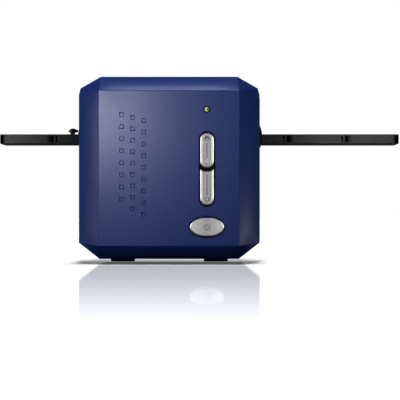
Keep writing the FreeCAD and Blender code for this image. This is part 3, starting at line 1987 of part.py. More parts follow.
def sensor_ribbon():
    """The flat cable that follows the carriage, looped behind it."""
    start_y = carriage_rear
    end_y = main_board_front_y
    low = optic_z
    high = main_board_low + board_post_inset
    path = [
        (start_y, carriage_low + carriage_height - board_thickness),
        (start_y + sensor_ribbon_bow, low),
        ((start_y + end_y) / 2, low - sensor_ribbon_bow),
        (end_y - sensor_ribbon_bow, low),
        (end_y, high),
    ]
    half = sensor_ribbon_width / 2
    return bent_strip(path, 1, -half, half)


NODES = {
    "front_fascia": front_fascia,
    "button_frame": button_frame,
    "upper_button": upper_button,
    "lower_button": lower_button,
    "power_button": power_button,
    "led_lens": led_lens,
    "front_board": front_board,
    "button_switches": button_switches,
    "power_led": power_led,
    "front_board_screws": front_board_screws,
    "front_ribbon": front_ribbon,
    "upper_shell": upper_shell,
    "base_shell": base_shell,
    "case_screws": case_screws,
    "rubber_feet": rubber_feet,
    "right_slot_bezel": right_slot_bezel,
    "left_slot_bezel": left_slot_bezel,
    "holder_base": holder_base,
    "holder_lid": holder_lid,
    "holder_hinge_pins": holder_hinge_pins,
    "holder_latch": holder_latch,
    "chassis": chassis,
    "chassis_screws": chassis_screws,
    "guide_rods": guide_rods,
    "lead_screw": lead_screw,
    "stepper_motor": stepper_motor,
    "carriage": carriage,
    "carriage_bushes": carriage_bushes,
    "drive_nut": drive_nut,
    "fold_mirror": fold_mirror,
    "lens_barrel": lens_barrel,
    "lens_glasses": lens_glasses,
    "lens_clamp": lens_clamp,
    "sensor_board": sensor_board,
    "line_sensor": line_sensor,
    "sensor_ribbon": sensor_ribbon,
    "home_sensor": home_sensor,
    "film_track": film_track,
    "detent_spring": detent_spring,
    "lamp_housing": lamp_housing,
    "lamp_diffuser": lamp_diffuser,
    "lamp_board": lamp_board,
    "lamp_leds": lamp_leds,
    "rear_panel": rear_panel,
    "main_board": main_board,
    "main_board_screws": main_board_screws,
    "board_chips": board_chips,
    "board_capacitors": board_capacitors,
    "usb_socket": usb_socket,
    "power_socket": power_socket,
}

os.makedirs("parts", exist_ok=True)
for name, make in NODES.items():
    shape = make()
    shape.exportStep("parts/" + name + ".step")
    print(name, len(shape.Solids), round(shape.Volume), shape.isValid())
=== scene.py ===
import json
import math

import bpy
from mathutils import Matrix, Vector

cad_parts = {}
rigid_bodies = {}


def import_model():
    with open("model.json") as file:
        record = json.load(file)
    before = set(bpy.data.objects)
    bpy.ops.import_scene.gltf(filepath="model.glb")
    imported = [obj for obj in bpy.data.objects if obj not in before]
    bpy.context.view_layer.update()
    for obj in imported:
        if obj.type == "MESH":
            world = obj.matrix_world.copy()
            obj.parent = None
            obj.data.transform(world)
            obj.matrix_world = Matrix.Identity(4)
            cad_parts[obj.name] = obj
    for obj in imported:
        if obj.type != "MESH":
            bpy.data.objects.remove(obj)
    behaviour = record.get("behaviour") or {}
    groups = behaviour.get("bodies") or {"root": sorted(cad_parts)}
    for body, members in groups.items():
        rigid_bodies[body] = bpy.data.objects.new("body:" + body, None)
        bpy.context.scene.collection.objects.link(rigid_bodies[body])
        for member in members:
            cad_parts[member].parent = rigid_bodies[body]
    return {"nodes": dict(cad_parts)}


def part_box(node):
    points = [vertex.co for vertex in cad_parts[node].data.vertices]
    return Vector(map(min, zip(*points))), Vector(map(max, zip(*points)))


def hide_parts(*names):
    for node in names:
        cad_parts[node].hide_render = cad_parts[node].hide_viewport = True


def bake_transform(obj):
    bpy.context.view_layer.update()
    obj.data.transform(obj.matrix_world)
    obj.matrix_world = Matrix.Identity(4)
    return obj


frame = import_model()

for spare in [obj for obj in bpy.data.objects if obj.name in ("Cube", "Light", "Camera")]:
    bpy.data.objects.remove(spare)
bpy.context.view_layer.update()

NODES = frame["nodes"]

# Pieces that share their lamps, pieces that no lamp lights, and pieces that shade the floor
CAPS = ("upper_button", "lower_button", "power_button")
RAIL = (
    "holder_base",
    "holder_lid",
    "holder_hinge_pins",
    "holder_latch",
    "left_slot_bezel",
    "right_slot_bezel",
)
UNLIT = ("button_frame", "led_lens")
CASING = ("front_fascia", "upper_shell", "base_shell", "rubber_feet")

# Places read from the frame
case_low, case_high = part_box("front_fascia")
CASE_FRONT = case_low.y
CASE_TOP = case_high.z
CASE_SIDE = case_high.x
cap_low, cap_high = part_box("power_button")
CAP_MIDDLE = (cap_low.x + cap_high.x) / 2
CAP_HALF_WIDTH = (cap_high.x - cap_low.x) / 2
lens_low, lens_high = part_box("led_lens")
rail_low, rail_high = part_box("holder_base")
RAIL_Z = (rail_low.z + rail_high.z) / 2

WHITE = (1.0, 1.0, 1.0)
NO_LIGHT = (0.0, 0.0, 0.0)

# Casing paint: colours are linear, and a relief is a depth and its strength
NAVY = (0.012, 0.041, 0.2)
NAVY_FLAKE = (0.038, 0.076, 0.29)
FLAKES_PER_METRE = 5200.0
FLAKE_THRESHOLD = 0.55
FLAKE_RELIEF = (0.00001, 0.08)
PEEL_PER_METRE = 900.0
PEEL_RELIEF = (0.00002, 0.1)
NAVY_DRIFT_PER_METRE = 60.0
NAVY_ROUGHNESS = (0.31, 0.37)
NAVY_SPECULAR = 0.4

# Painted shade inside the control openings, black on the casing's walls there: how far behind the casing's
# front it starts, and how far past the controls it reaches
OPENING_SHADE_DEPTH = 0.00025
OPENING_SHADE_MARGIN = 0.001

# Plain mouldings: colour, roughness, grains to the metre, specular level
BLACK = (0.010, 0.010, 0.012)
MOULDINGS = {
    "black_plastic": (BLACK, 0.38, 2600.0, 0.3),
    "rubber": ((0.012, 0.012, 0.014), 0.72, 1500.0, 0.3),
    "inner_plastic": ((0.018, 0.018, 0.020), 0.55, 2200.0, 0.5),
    "component_black": ((0.014, 0.014, 0.015), 0.42, 1800.0, 0.5),
    "white_plastic": ((0.72, 0.73, 0.70), 0.38, 1200.0, 0.5),
    "ribbon": ((0.62, 0.63, 0.64), 0.35, 900.0, 0.5),
}
GRAIN_RELIEF = (0.00004, 0.35)
MOULDING_DRIFT_PER_METRE = 140.0
LIGHTER_TIMES = 1.5
LIGHTER_PLUS = 0.002
MOULDING_SMOOTHER = 0.05
MOULDING_ROUGHER = 0.07

# Film holder: painted shade in its notches, darker from the depth of their lip to the one where they are
# dark, and reaching back to a third. The holder's skins over and under them keep their colour.
CHARCOAL = (0.022, 0.022, 0.024)
HOLDER_ROUGHNESS = 0.46
HOLDER_GRAIN_PER_METRE = 3200.0
HOLDER_SPECULAR = 0.4
NOTCH_LIP = 0.00005
NOTCH_DARK = 0.0006
NOTCH_BACK = 0.0022
NOTCH_SKIN = NOTCH_BACK / 2

# Button caps: a painted highlight, brighter towards their sides, and painted shade behind the casing's
# front. Near the caps' middle line, what lies less than ENGRAVED_AHEAD in front of the casing is the floor
# of an engraved sign.
SILVER = (0.52, 0.52, 0.52)
SILVER_HIGHLIGHT_AND_FLAKE = (0.97, 0.97, 0.96)
CAP_HALF_SHARE = 0.5
SIDE_HIGHLIGHT_POWER = 1.1
SIGN_AND_PAINTED_SHADE = (0.03, 0.03, 0.03)
ENGRAVED_AHEAD = 0.00095
SIGN_HALF_WIDTH = 0.0023
CAP_FLAKES_PER_METRE = 6500.0
CAP_FLAKE_SHARE = 0.12
CAP_FLAKE_RELIEF = (0.00001, 0.1)
CAP_DRIFT_PER_METRE = 300.0
CAP_ROUGHNESS = (0.30, 0.38)
CAP_METALLIC = 0.75

# Status lamp: lit within a soft circle. Its green core, shifted to the right, leaves a painted glint on the
# left.
# The two radii of a circle are where its edge starts to fade and where it ends.
LENS_GREENS = ((0.08, 0.16, 0.01), (0.13, 0.24, 0.015))
PAINTED_GLINT = (0.86, 1.0, 0.42)
LIT_RADII = (0.0011, 0.0015)
CORE_RADII = (0.0009, 0.0014)
CORE_SHIFT = 0.0006
LENS_MOTTLE_PER_METRE = 700.0
LENS_RELIEF = (0.00002, 0.1)
LENS_GLOW = 0.9
LENS_ROUGHNESS = 0.12
LENS_COAT_ROUGHNESS = 0.05

# Bare metals: colour, roughness, stretch of the grain along each axis
METALS = {
    "steel": ((0.56, 0.56, 0.58), 0.28, (1.0, 0.05, 1.0)),
    "aluminium": ((0.60, 0.61, 0.63), 0.42, (1.0, 1.0, 1.0)),
    "brass": ((0.70, 0.52, 0.22), 0.26, (1.0, 0.05, 1.0)),
}
METAL_GRAIN_PER_METRE = 400.0
METAL_GRAIN_ROUGHNESS = 0.6
METAL_RELIEF = (0.00002, 0.2)
DARKER_TIMES = 0.8
METAL_SMOOTHER = 0.06
METAL_ROUGHER = 0.1

# Circuit boards
MASK_GREENS = ((0.010, 0.085, 0.030), (0.014, 0.105, 0.036))
TRACK_GREEN = (0.035, 0.16, 0.06)
TRACKS_PER_METRE = 180.0
TRACK_RELIEF = (0.00003, 0.3)
BOARD_DRIFT_PER_METRE = 300.0
BOARD_ROUGHNESS = (0.28, 0.4)

# Lens glass and mirror
GLASS_TINTS = ((0.80, 0.86, 0.92), (0.86, 0.92, 0.97))
GLASS_HAZE_PER_METRE = 500.0
GLASS_ROUGHNESS = (0.02, 0.06)
GLASS_IOR = 1.5
MIRROR_TINTS = ((0.86, 0.87, 0.89), (0.93, 0.94, 0.95))
MIRROR_HAZE_PER_METRE = 200.0
MIRROR_ROUGHNESS = (0.02, 0.07)

# Floor: pale to the camera, and dim to whatever it lights or is mirrored in
FLOOR_REACH = 12.0
PALE_FLOOR = ((0.88, 0.91, 0.97), (0.91, 0.93, 0.98))
FLOOR_MOTTLE_PER_METRE = 30.0
DIM_FLOOR = (0.085, 0.105, 0.125)
SHADE_LEVEL = 0.08

# Mirroring ahead of the casing: its greatest share, the lesser share close by and the distances
# over which that ends, and the reach and power of its fading. Distances start at the origin.
MIRROR_SHARE = 0.58
NEAR_SHARE = 0.2
NEAR_REACH = (0.28, 0.44)
MIRROR_REACH = 2.75
MIRROR_FADE = 2.5
FLOOR_ROUGHNESS = 0.02

# Painted light on the floor under the casing, a glow where its shade would fall: at the front edge, between
# the feet and at the sides, with the place where it is full and where the feet begin
SILL_GLOW = 0.28
UNDER_GLOW = 0.6
SIDE_GLOW = 1.0
FULL_GLOW_Y = 0.06
FEET_X = 0.047

# Room: dim, with a pale card round the camera and a white backdrop. Their soft edges are given
# as the Y of a direction of length one.
ROOM_COLOUR = (0.8, 0.88, 1.0)
ROOM_LEVEL = 0.02
CARD_LEVEL = 0.13
CARD_EDGES = (-0.6, -0.9)
BACKDROP_EDGES = (0.97, 0.995)

# Lamps: name, pieces lit, place, aim, size across and up, watts, colour.
# Places and aims start from the middle of the casing's front, on the floor.
CLEAR_BLUE = (0.87, 0.87, 1.0)
SKY_BLUE = (0.66, 0.74, 1.0)
ORANGE = (1.0, 0.72, 0.52)
PEACH = (1.0, 0.86, 0.78)
ICE = (0.86, 0.93, 1.0)
OVERHEAD_Z = CASE_TOP + 0.4
CAP_Z = 0.07
CAP_LEFT = CAP_MIDDLE - 0.25
CAP_RIGHT = CAP_MIDDLE + 0.25
LAMPS = (
    ("key", "body", (-0.052, -0.22, 0.097), (-0.052, 0.0, 0.097), (0.03, 0.03), 0.216, CLEAR_BLUE),
    ("overhead", "body", (0.0, -0.03, OVERHEAD_Z), (0.0, 0.0, CASE_TOP), (0.25, 0.06), 0.88, SKY_BLUE),
    ("left_strip", "body", (-0.29, -0.085, 0.088), (-0.05, 0.0, 0.075), (0.03, 0.10), 0.066, ORANGE),
    ("low_left", "body", (-0.22, -0.03, 0.012), (-0.05, 0.0, 0.02), (0.04, 0.02), 0.007, PEACH),
    ("low_right", "body", (0.22, -0.03, 0.012), (0.05, 0.0, 0.02), (0.04, 0.02), 0.019, PEACH),
    ("rail_left", "rail", (-0.112, 0.005, RAIL_Z), (-0.112, 0.1, RAIL_Z), (0.03, 0.02), 0.012, WHITE),
    ("rail_right", "rail", (0.122, 0.005, RAIL_Z), (0.122, 0.1, RAIL_Z), (0.07, 0.02), 0.015, WHITE),
    ("left_glint", "left_collar", (-0.16, 0.07, RAIL_Z), (-0.06, 0.065, RAIL_Z), (0.03, 0.02), 0.05, ICE),
    ("right_glint", "right_collar", (0.16, 0.07, RAIL_Z), (0.06, 0.065, RAIL_Z), (0.03, 0.02), 0.05, ICE),
    ("cap_face", "caps", (CAP_MIDDLE, -0.6, CAP_Z), (CAP_MIDDLE, 0.0, CAP_Z), (0.5, 0.5), 0.70, WHITE),
    ("cap_left", "caps", (CAP_LEFT, -0.05, CAP_Z), (CAP_MIDDLE, 0.0, CAP_Z), (0.2, 0.3), 0.85, WHITE),
    ("cap_right", "caps", (CAP_RIGHT, -0.05, CAP_Z), (CAP_MIDDLE, 0.0, CAP_Z), (0.2, 0.3), 0.85, WHITE),
)

# Sun, which makes the shadow on the floor
SUN_LEVEL = 8.1
SUN_HEIGHT = math.radians(26.0)
SUN_BREADTH = math.radians(5.0)

# Camera: the photograph's width in pixels, and its scale at the depth where the bevels meet the
# casing's sides. The target lies at that depth.
METRES_PER_PIXEL = 0.000645
IMAGE_PIXELS = 400
SENSOR_WIDTH = 36.0
CAMERA_DISTANCE = 5.0
CAMERA_YAW = math.radians(0.5)
CLIP_END = 100.0
BEVEL_DEPTH = 0.012
TARGET_X = 0.0199
TARGET_Z = 0.0397


# Node helpers


class Nodes:
    """The node tree of a material or of the world, with short ways to add and join nodes."""

    def __init__(self, tree):
        self.tree = tree

    def feed(self, socket, value):
        """Joins another node's output to the socket, or gives the socket a fixed value."""
        if isinstance(value, bpy.types.NodeSocket):
            self.tree.links.new(value, socket)
        elif socket.type == "RGBA":
            socket.default_value = (*value, 1.0)
        else:
            socket.default_value = value

    def add(self, kind, **inputs):
        """A new node, its inputs named with an underscore for each space."""
        node = self.tree.nodes.new(kind)
        for name, value in inputs.items():
            self.feed(node.inputs[name.replace("_", " ")], value)
        return node

    def place(self):
        return self.add("ShaderNodeTexCoord").outputs["Object"]

    def axes(self, vector=None):
        """The X, Y and Z of a vector, which is the place on the object unless one is given."""
        return self.add("ShaderNodeSeparateXYZ", Vector=vector or self.place()).outputs

    def noise(self, scale, detail=3.0, roughness=0.5, vector=None):
        vector = vector or self.place()
        node = self.add("ShaderNodeTexNoise", Vector=vector, Scale=scale, Detail=detail, Roughness=roughness)
        return node.outputs["Fac"]

    def flakes(self, scale):
        """Random numbers that are the same all over a cell, under the names of colour channels."""
        cells = self.add("ShaderNodeTexVoronoi", Vector=self.place(), Scale=scale)
        return self.add("ShaderNodeSeparateColor", Color=cells.outputs["Color"]).outputs

    def span(self, value, low, high, from_low=0.0, from_high=1.0, smooth=False):
        """The value moved from one range to another, and kept inside it."""
        node = self.add("ShaderNodeMapRange", From_Min=from_low, From_Max=from_high)
        if smooth:
            node.interpolation_type = "SMOOTHSTEP"
        for name, bound in (("Value", value), ("To Min", low), ("To Max", high)):
            self.feed(node.inputs[name], bound)
        return node.outputs["Result"]

    def compute(self, operation, *values, clamp=True):
        """The operation's result, kept from none to one unless clamp is false."""
        node = self.add("ShaderNodeMath")
        node.operation = operation
        node.use_clamp = clamp
        for socket, value in zip(node.inputs, values):
            self.feed(socket, value)
        return node.outputs["Value"]

    def all_of(self, share, *conditions):
        """The share where every condition holds, and none elsewhere."""
        for condition in conditions:
            share = self.compute("MULTIPLY", share, condition)
        return share

    def above(self, value, bound):
        return self.compute("GREATER_THAN", value, bound)

    def below(self, value, bound):
        return self.compute("LESS_THAN", value, bound)

    def distance(self, value, middle):
        """How far the value lies from the middle, to either side."""
        return self.compute("ABSOLUTE", self.compute("SUBTRACT", value, middle, clamp=False))

    def mix(self, share, first, second):
        """The first colour where the share is none, and the second where it is one."""
        node = self.add("ShaderNodeMix")
        node.data_type = "RGBA"
        for name, value in (("Factor", share), ("A", first), ("B", second)):
            self.feed(node.inputs[name], value)
        return node.outputs["Result"]

    def mix_shaders(self, share, first, second):
        """The first shader where the share is none, and the second where it is one."""
        node = self.add("ShaderNodeMixShader")
        for socket, value in zip(node.inputs, (share, first, second)):
            self.feed(socket, value)
        return node.outputs["Shader"]

    def bump(self, height, relief, under=None):
        depth, strength = relief
        node = self.add("ShaderNodeBump", Strength=strength, Distance=depth, Height=height)
        if under is not None:
            self.feed(node.inputs["Normal"], under)
        return node.outputs["Normal"]


class Material(Nodes):
    """A new material, and the nodes that feed its shader."""

    def __init__(self, name):
        self.material = bpy.data.materials.new(name)
        self.material.use_nodes = True
        super().__init__(self.material.node_tree)
        self.shader = self.tree.nodes["Principled BSDF"]

    def finished(self, **inputs):
        """The material, once its shader's inputs are fed."""
        for name, value in inputs.items():
            self.feed(self.shader.inputs[name.replace("_", " ")], value)
        return self.material


# Materials of the object


def navy_paint():
    """Satin metallic paint, deep blue with fine flakes under orange peel, and painted shade, black, inside
    the openings.
    """
    paint = Material("navy_paint")
    flakes = paint.flakes(FLAKES_PER_METRE)
    sparkle = paint.span(flakes["Red"], 0.0, 1.0, FLAKE_THRESHOLD, 1.0)
    place = paint.axes()
    # Painted shade: black on the walls inside the control openings, behind the casing's front
    painted_opening_shade = paint.all_of(
        paint.above(place["Y"], CASE_FRONT + OPENING_SHADE_DEPTH),
        paint.below(paint.distance(place["X"], CAP_MIDDLE), CAP_HALF_WIDTH + OPENING_SHADE_MARGIN),
        paint.above(place["Z"], cap_low.z - OPENING_SHADE_MARGIN),
        paint.below(place["Z"], lens_high.z + OPENING_SHADE_MARGIN),
    )
    fine = paint.bump(flakes["Green"], FLAKE_RELIEF)
    return paint.finished(
        Base_Color=paint.mix(painted_opening_shade, paint.mix(sparkle, NAVY, NAVY_FLAKE), BLACK),
        Normal=paint.bump(paint.noise(PEEL_PER_METRE, detail=2.0), PEEL_RELIEF, fine),
        Roughness=paint.span(paint.noise(NAVY_DRIFT_PER_METRE), *NAVY_ROUGHNESS),
        Specular_IOR_Level=NAVY_SPECULAR,
    )


def moulded(plastic, colour, roughness, grain):
    """Colour, relief and roughness of a fine-grained moulding whose gloss drifts a little."""
    drift = plastic.noise(MOULDING_DRIFT_PER_METRE, detail=4.0)
    lighter = tuple(value * LIGHTER_TIMES + LIGHTER_PLUS for value in colour)
    return (
        plastic.mix(drift, colour, lighter),
        plastic.bump(plastic.noise(grain, detail=2.0), GRAIN_RELIEF),
        plastic.span(drift, roughness - MOULDING_SMOOTHER, roughness + MOULDING_ROUGHER),
    )


def moulded_plastic(name, colour, roughness, grain, specular):
    plastic = Material(name)
    colour, relief, gloss = moulded(plastic, colour, roughness, grain)
    return plastic.finished(Base_Color=colour, Normal=relief, Roughness=gloss, Specular_IOR_Level=specular)


def holder_plastic():
    """Charcoal moulding with painted shade in the notches of the front edge, darker the deeper a notch goes.
    """
    plastic = Material("holder_plastic")
    colour, relief, gloss = moulded(plastic, CHARCOAL, HOLDER_ROUGHNESS, HOLDER_GRAIN_PER_METRE)
    place = plastic.axes()
    # Painted shade in the notches: black, and without specular, the deeper they go
    deep = plastic.all_of(
        plastic.span(place["Y"], 0.0, 1.0, rail_low.y + NOTCH_LIP, rail_low.y + NOTCH_DARK),
        plastic.below(place["Y"], rail_low.y + NOTCH_BACK),
        plastic.above(place["Z"], rail_low.z + NOTCH_SKIN),
        plastic.below(place["Z"], rail_high.z - NOTCH_SKIN),
    )
    return plastic.finished(
        Base_Color=plastic.mix(deep, colour, NO_LIGHT),
        Normal=relief,
        Roughness=gloss,
        Specular_IOR_Level=plastic.span(deep, HOLDER_SPECULAR, 0.0),
    )


def silver_cap():
    """Satin silver paint with a painted highlight towards the sides, dark in the engraved signs, and painted
    shade behind the front.
    """
    silver = Material("silver_cap")
    flakes = silver.flakes(CAP_FLAKES_PER_METRE)
    place = silver.axes()
    across = silver.axes(silver.add("ShaderNodeTexCoord").outputs["Generated"])["X"]
    # Painted highlight: the silver is lighter towards the caps' sides, with random flakes on top
    beside = silver.span(silver.distance(across, CAP_HALF_SHARE), 0.0, 1.0, 0.0, CAP_HALF_SHARE)
    side = silver.compute("POWER", beside, SIDE_HIGHLIGHT_POWER)
    painted_highlight_and_flakes = silver.compute("MULTIPLY_ADD", flakes["Red"], CAP_FLAKE_SHARE, side)
    # Painted shade: near black on whatever lies behind the casing's front
    behind = silver.above(place["Y"], CASE_FRONT)
    engraved = silver.all_of(
        silver.above(place["Y"], CASE_FRONT - ENGRAVED_AHEAD),
        silver.below(silver.distance(place["X"], CAP_MIDDLE), SIGN_HALF_WIDTH),
    )
    # Dark in the engraved signs, and painted shade behind the front
    dark = silver.compute("MAXIMUM", behind, engraved)
    return silver.finished(
        Base_Color=silver.mix(dark, silver.mix(painted_highlight_and_flakes, SILVER, SILVER_HIGHLIGHT_AND_FLAKE), SIGN_AND_PAINTED_SHADE),
        Normal=silver.bump(flakes["Green"], CAP_FLAKE_RELIEF),
        Roughness=silver.span(silver.noise(CAP_DRIFT_PER_METRE), *CAP_ROUGHNESS),
        Metallic=CAP_METALLIC,
    )


def soft_circle(nodes, x, z, radii):
    """One within the inner radius about a point of the front, and none beyond the outer one."""
    flat = (1.0, 0.0, 1.0)
    shifted = nodes.add("ShaderNodeMapping", Vector=nodes.place(), Location=(-x, 0.0, -z), Scale=flat)
    length = nodes.add("ShaderNodeVectorMath")
    length.operation = "LENGTH"
    nodes.feed(length.inputs[0], shifted.outputs["Vector"])
    return nodes.span(length.outputs["Value"], 1.0, 0.0, *radii)


def lamp_green():
    """The lit lens: yellow-green, with a painted glint on its left and a dark rim."""
    lens = Material("lamp_green")
    middle = (lens_low + lens_high) / 2
    mottle = lens.noise(LENS_MOTTLE_PER_METRE, detail=2.0)
    lit = soft_circle(lens, middle.x, middle.z, LIT_RADII)
    core = soft_circle(lens, middle.x + CORE_SHIFT, middle.z, CORE_RADII)
    green = lens.mix(mottle, *LENS_GREENS)
    return lens.finished(
        Base_Color=green,
        Normal=lens.bump(mottle, LENS_RELIEF),
        Roughness=LENS_ROUGHNESS,
        # Painted highlight: the glint glows on the left of the green core
        Emission_Color=lens.mix(lit, NO_LIGHT, lens.mix(core, PAINTED_GLINT, green)),
        Emission_Strength=LENS_GLOW,
        Coat_Weight=1.0,
        Coat_Roughness=LENS_COAT_ROUGHNESS,
    )


def bare_metal(name, colour, roughness, grain_stretch):
    """Metal with fine drawn or cast grain."""
    metal = Material(name)
    stretched = metal.add("ShaderNodeMapping", Vector=metal.place(), Scale=grain_stretch).outputs["Vector"]
    grain = metal.noise(METAL_GRAIN_PER_METRE, detail=5.0, roughness=METAL_GRAIN_ROUGHNESS, vector=stretched)
    darker = tuple(value * DARKER_TIMES for value in colour)
    return metal.finished(
        Base_Color=metal.mix(grain, darker, colour),
        Normal=metal.bump(grain, METAL_RELIEF),
        Roughness=metal.span(grain, roughness - METAL_SMOOTHER, roughness + METAL_ROUGHER),
        Metallic=1.0,
    )


def circuit_board():
    """Green solder mask over a faint pattern of tracks."""
    board = Material("circuit_board")
    dark, light = MASK_GREENS
    tracks = board.add("ShaderNodeTexBrick", Vector=board.place(), Scale=TRACKS_PER_METRE)
    for name, colour in (("Color1", dark), ("Color2", light), ("Mortar", TRACK_GREEN)):
        board.feed(tracks.inputs[name], colour)
    return board.finished(
        Base_Color=tracks.outputs["Color"],
        Normal=board.bump(tracks.outputs["Fac"], TRACK_RELIEF),
        Roughness=board.span(board.noise(BOARD_DRIFT_PER_METRE), *BOARD_ROUGHNESS),
    )


def lens_glass():
    glass = Material("lens_glass")
    haze = glass.noise(GLASS_HAZE_PER_METRE, detail=2.0)
    return glass.finished(
        Base_Color=glass.mix(haze, *GLASS_TINTS),
        Roughness=glass.span(haze, *GLASS_ROUGHNESS),
        Transmission_Weight=1.0,
        IOR=GLASS_IOR,
    )


def mirror():
    silvered = Material("mirror")
    haze = silvered.noise(MIRROR_HAZE_PER_METRE)
    return silvered.finished(
        Base_Color=silvered.mix(haze, *MIRROR_TINTS),
        Roughness=silvered.span(haze, *MIRROR_ROUGHNESS),
        Metallic=1.0,
    )


def make_materials():
    """One finish for each of the record's material slots."""
    finishes = {
        "navy_paint": navy_paint(),
        "holder_plastic": holder_plastic(),
        "silver_cap": silver_cap(),
        "lamp_green": lamp_green(),
        "circuit_board": circuit_board(),
        "mirror": mirror(),
        "lens_glass": lens_glass(),
    }
    for name, looks in MOULDINGS.items():
        finishes[name] = moulded_plastic(name, *looks)
    for name, looks in METALS.items():
        finishes[name] = bare_metal(name, *looks)
    return finishes


def dress_nodes():
    """Gives every node the finish of its slot in the record."""
    finishes = make_materials()
    for obj in NODES.values():
        for slot in obj.material_slots:
            slot.material = finishes[slot.material.name]


def bend_ribbon():
    """A copy of the carriage's flat cable between the carriage and the board behind it, shown in place of
    the original, which is hidden.
    """
    node = NODES["sensor_ribbon"]
    loop = bpy.data.objects.new("sensor_ribbon_loop", node.data.copy())
    bpy.context.scene.collection.objects.link(loop)
    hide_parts("sensor_ribbon")
    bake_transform(loop)
    return loop


# Stage


def mirrored_share(nodes, place):
    """How much the floor mirrors ahead of the casing: little close by, most further off, then less again."""
    ahead = nodes.compute("MULTIPLY", place["Y"], -1.0)
    distant = nodes.compute("MULTIPLY", place["Y"], -1.0 / MIRROR_REACH)
    faded = nodes.compute("SUBTRACT", 1.0, nodes.compute("POWER", distant, MIRROR_FADE))
    strength = nodes.compute("MULTIPLY", faded, MIRROR_SHARE)
    near = nodes.span(ahead, NEAR_SHARE, 1.0, *NEAR_REACH)
    return nodes.all_of(strength, near, nodes.below(place["Y"], CASE_FRONT))


def glow_under_casing(nodes, place):
    """Where the casing covers the floor, and the painted light that glows on the floor there."""
    beside = nodes.distance(place["X"], 0.0)
    covered = nodes.all_of(
        nodes.above(place["Y"], CASE_FRONT),
        nodes.below(place["Y"], -CASE_FRONT),
        nodes.below(beside, CASE_SIDE),
    )
    outside_feet = nodes.span(beside, 0.0, 1.0, FEET_X, CASE_SIDE)
    deep_level = nodes.span(outside_feet, UNDER_GLOW, SIDE_GLOW)
    depth = nodes.span(place["Y"], 0.0, 1.0, CASE_FRONT, FULL_GLOW_Y)
    gain = nodes.compute("SUBTRACT", deep_level, SILL_GLOW)
    level = nodes.compute("MULTIPLY_ADD", depth, gain, SILL_GLOW)
    return covered, nodes.add("ShaderNodeEmission", Strength=level).outputs["Emission"]


def make_floor():
    """A pale floor that mirrors the object, shows its shadow, glows with painted light under the casing and
    looks dim to all but the camera.
    """
    mesh = bpy.data.meshes.new("floor")
    reach = FLOOR_REACH
    corners = [(-reach, -reach, 0), (reach, -reach, 0), (reach, reach, 0), (-reach, reach, 0)]
    mesh.from_pydata(corners, [], [(0, 1, 2, 3)])
    floor = bpy.data.objects.new("floor", mesh)
    bpy.context.scene.collection.objects.link(floor)

    ground = Material("floor")
    ground.tree.nodes.remove(ground.shader)
    seen = ground.add("ShaderNodeLightPath").outputs["Is Camera Ray"]
    place = ground.axes()
    tint = ground.mix(ground.noise(FLOOR_MOTTLE_PER_METRE, detail=2.0), *PALE_FLOOR)
    pale = ground.add("ShaderNodeBsdfDiffuse", Color=tint).outputs["BSDF"]
    haze = ground.add("ShaderNodeEmission", Strength=SHADE_LEVEL).outputs["Emission"]
    hazy = ground.add("ShaderNodeAddShader")
    for socket, part in zip(hazy.inputs, (pale, haze)):
        ground.feed(socket, part)
    dim = ground.add("ShaderNodeBsdfDiffuse", Color=DIM_FLOOR).outputs["BSDF"]
    # Painted light: to the camera, the floor glows where the casing covers it
    covered, glow = glow_under_casing(ground, place)
    plain = ground.mix_shaders(seen, dim, hazy.outputs["Shader"])
    lit = ground.mix_shaders(ground.compute("MULTIPLY", covered, seen), plain, glow)
    gloss = ground.add("ShaderNodeBsdfGlossy", Roughness=FLOOR_ROUGHNESS, Color=WHITE).outputs["BSDF"]
    surface = ground.mix_shaders(mirrored_share(ground, place), lit, gloss)
    ground.feed(ground.tree.nodes["Material Output"].inputs["Surface"], surface)
    mesh.materials.append(ground.material)
    return floor


def make_world():
    """White behind the object; for what lights it, a dim room with a pale card round the camera."""
    world = bpy.data.worlds.new("studio")
    bpy.context.scene.world = world
    world.use_nodes = True
    world.node_tree.nodes.clear()
    sky = Nodes(world.node_tree)

    def background(colour, level):
        return sky.add("ShaderNodeBackground", Color=colour, Strength=level).outputs["Background"]

    path = sky.add("ShaderNodeLightPath").outputs
    toward = sky.axes(sky.add("ShaderNodeTexCoord").outputs["Generated"])["Y"]
    card = sky.span(toward, 0.0, 1.0, *CARD_EDGES, smooth=True)
    room = sky.mix_shaders(card, background(ROOM_COLOUR, ROOM_LEVEL), background(WHITE, CARD_LEVEL))
    backdrop = sky.span(toward, 0.0, 1.0, *BACKDROP_EDGES, smooth=True)
    bounced = sky.compute("MAXIMUM", path["Is Glossy Ray"], path["Is Transmission Ray"])
    seen = sky.compute("MAXIMUM", path["Is Camera Ray"], sky.compute("MULTIPLY", bounced, backdrop))
    sky.add("ShaderNodeOutputWorld", Surface=sky.mix_shaders(seen, room, background(WHITE, 1.0)))


def in_collection(name, members):
    """A collection outside the scene, which only says what a lamp lights or is blocked by."""
    collection = bpy.data.collections.new(name)
    for obj in members:
        collection.objects.link(obj)
    return collection


def soft_box(name, lit, place, aim, size, watts, colour):
    """A rectangular lamp for one collection of pieces, which the camera doesn't see."""
    front = Vector((0.0, CASE_FRONT, 0.0))
    data = bpy.data.lights.new(name, "AREA")
    data.shape = "RECTANGLE"
    data.size, data.size_y = size
    data.energy = watts
    data.color = colour
    lamp = bpy.data.objects.new(name, data)
    lamp.location = front + Vector(place)
    lamp.rotation_mode = "QUATERNION"
    lamp.rotation_quaternion = (Vector(aim) - Vector(place)).to_track_quat("-Z", "Y")
    lamp.visible_camera = False
    lamp.light_linking.receiver_collection = lit
    bpy.context.scene.collection.objects.link(lamp)


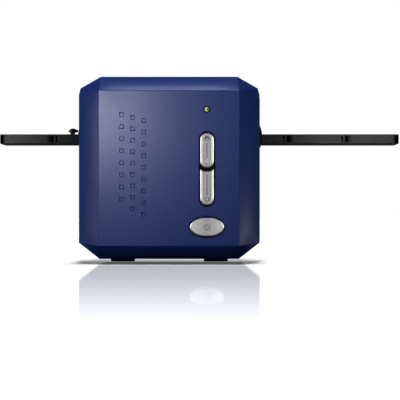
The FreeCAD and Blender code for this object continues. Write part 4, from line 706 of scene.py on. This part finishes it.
def make_sun(floor):
    """A broad low sun behind the object, which casts its shadow and lights the floor alone."""
    data = bpy.data.lights.new("floor_sun", "SUN")
    data.energy = SUN_LEVEL
    data.angle = SUN_BREADTH
    sun = bpy.data.objects.new("floor_sun", data)
    sun.rotation_mode = "QUATERNION"
    travel = Vector((0.0, -math.cos(SUN_HEIGHT), -math.sin(SUN_HEIGHT)))
    sun.rotation_quaternion = travel.to_track_quat("-Z", "Y")
    sun.light_linking.receiver_collection = in_collection("lit_by_sun", [floor])
    sun.light_linking.blocker_collection = in_collection("shades_floor", [NODES[name] for name in CASING])
    bpy.context.scene.collection.objects.link(sun)


def make_lights(floor, ribbon):
    """Small soft boxes for each group of pieces, and the sun for the floor."""
    apart = CAPS + RAIL + UNLIT
    groups = {
        "body": [ribbon] + [obj for name, obj in NODES.items() if name not in apart],
        "rail": [NODES[name] for name in RAIL],
        "left_collar": [NODES["left_slot_bezel"]],
        "right_collar": [NODES["right_slot_bezel"]],
        "caps": [NODES[name] for name in CAPS],
    }
    lit = {group: in_collection("lit_as_" + group, members) for group, members in groups.items()}
    for name, group, *placing in LAMPS:
        soft_box(name, lit[group], *placing)
    make_sun(floor)


def make_camera():
    """Nearly square on, aimed so that the casing lies in the frame as photographed."""
    target = Vector((TARGET_X, CASE_FRONT + BEVEL_DEPTH, TARGET_Z))
    away = Vector((math.sin(CAMERA_YAW), -math.cos(CAMERA_YAW), 0.0))
    data = bpy.data.cameras.new("camera")
    data.sensor_width = SENSOR_WIDTH
    data.lens = SENSOR_WIDTH * CAMERA_DISTANCE / (IMAGE_PIXELS * METRES_PER_PIXEL)
    data.clip_end = CLIP_END
    camera = bpy.data.objects.new("camera", data)
    camera.location = target + away * CAMERA_DISTANCE
    camera.rotation_mode = "QUATERNION"
    camera.rotation_quaternion = (-away).to_track_quat("-Z", "Y")
    bpy.context.scene.collection.objects.link(camera)
    bpy.context.scene.camera = camera


bpy.context.scene.view_settings.view_transform = "Standard"
make_camera()
dress_nodes()
make_world()
make_lights(make_floor(), bend_ribbon())
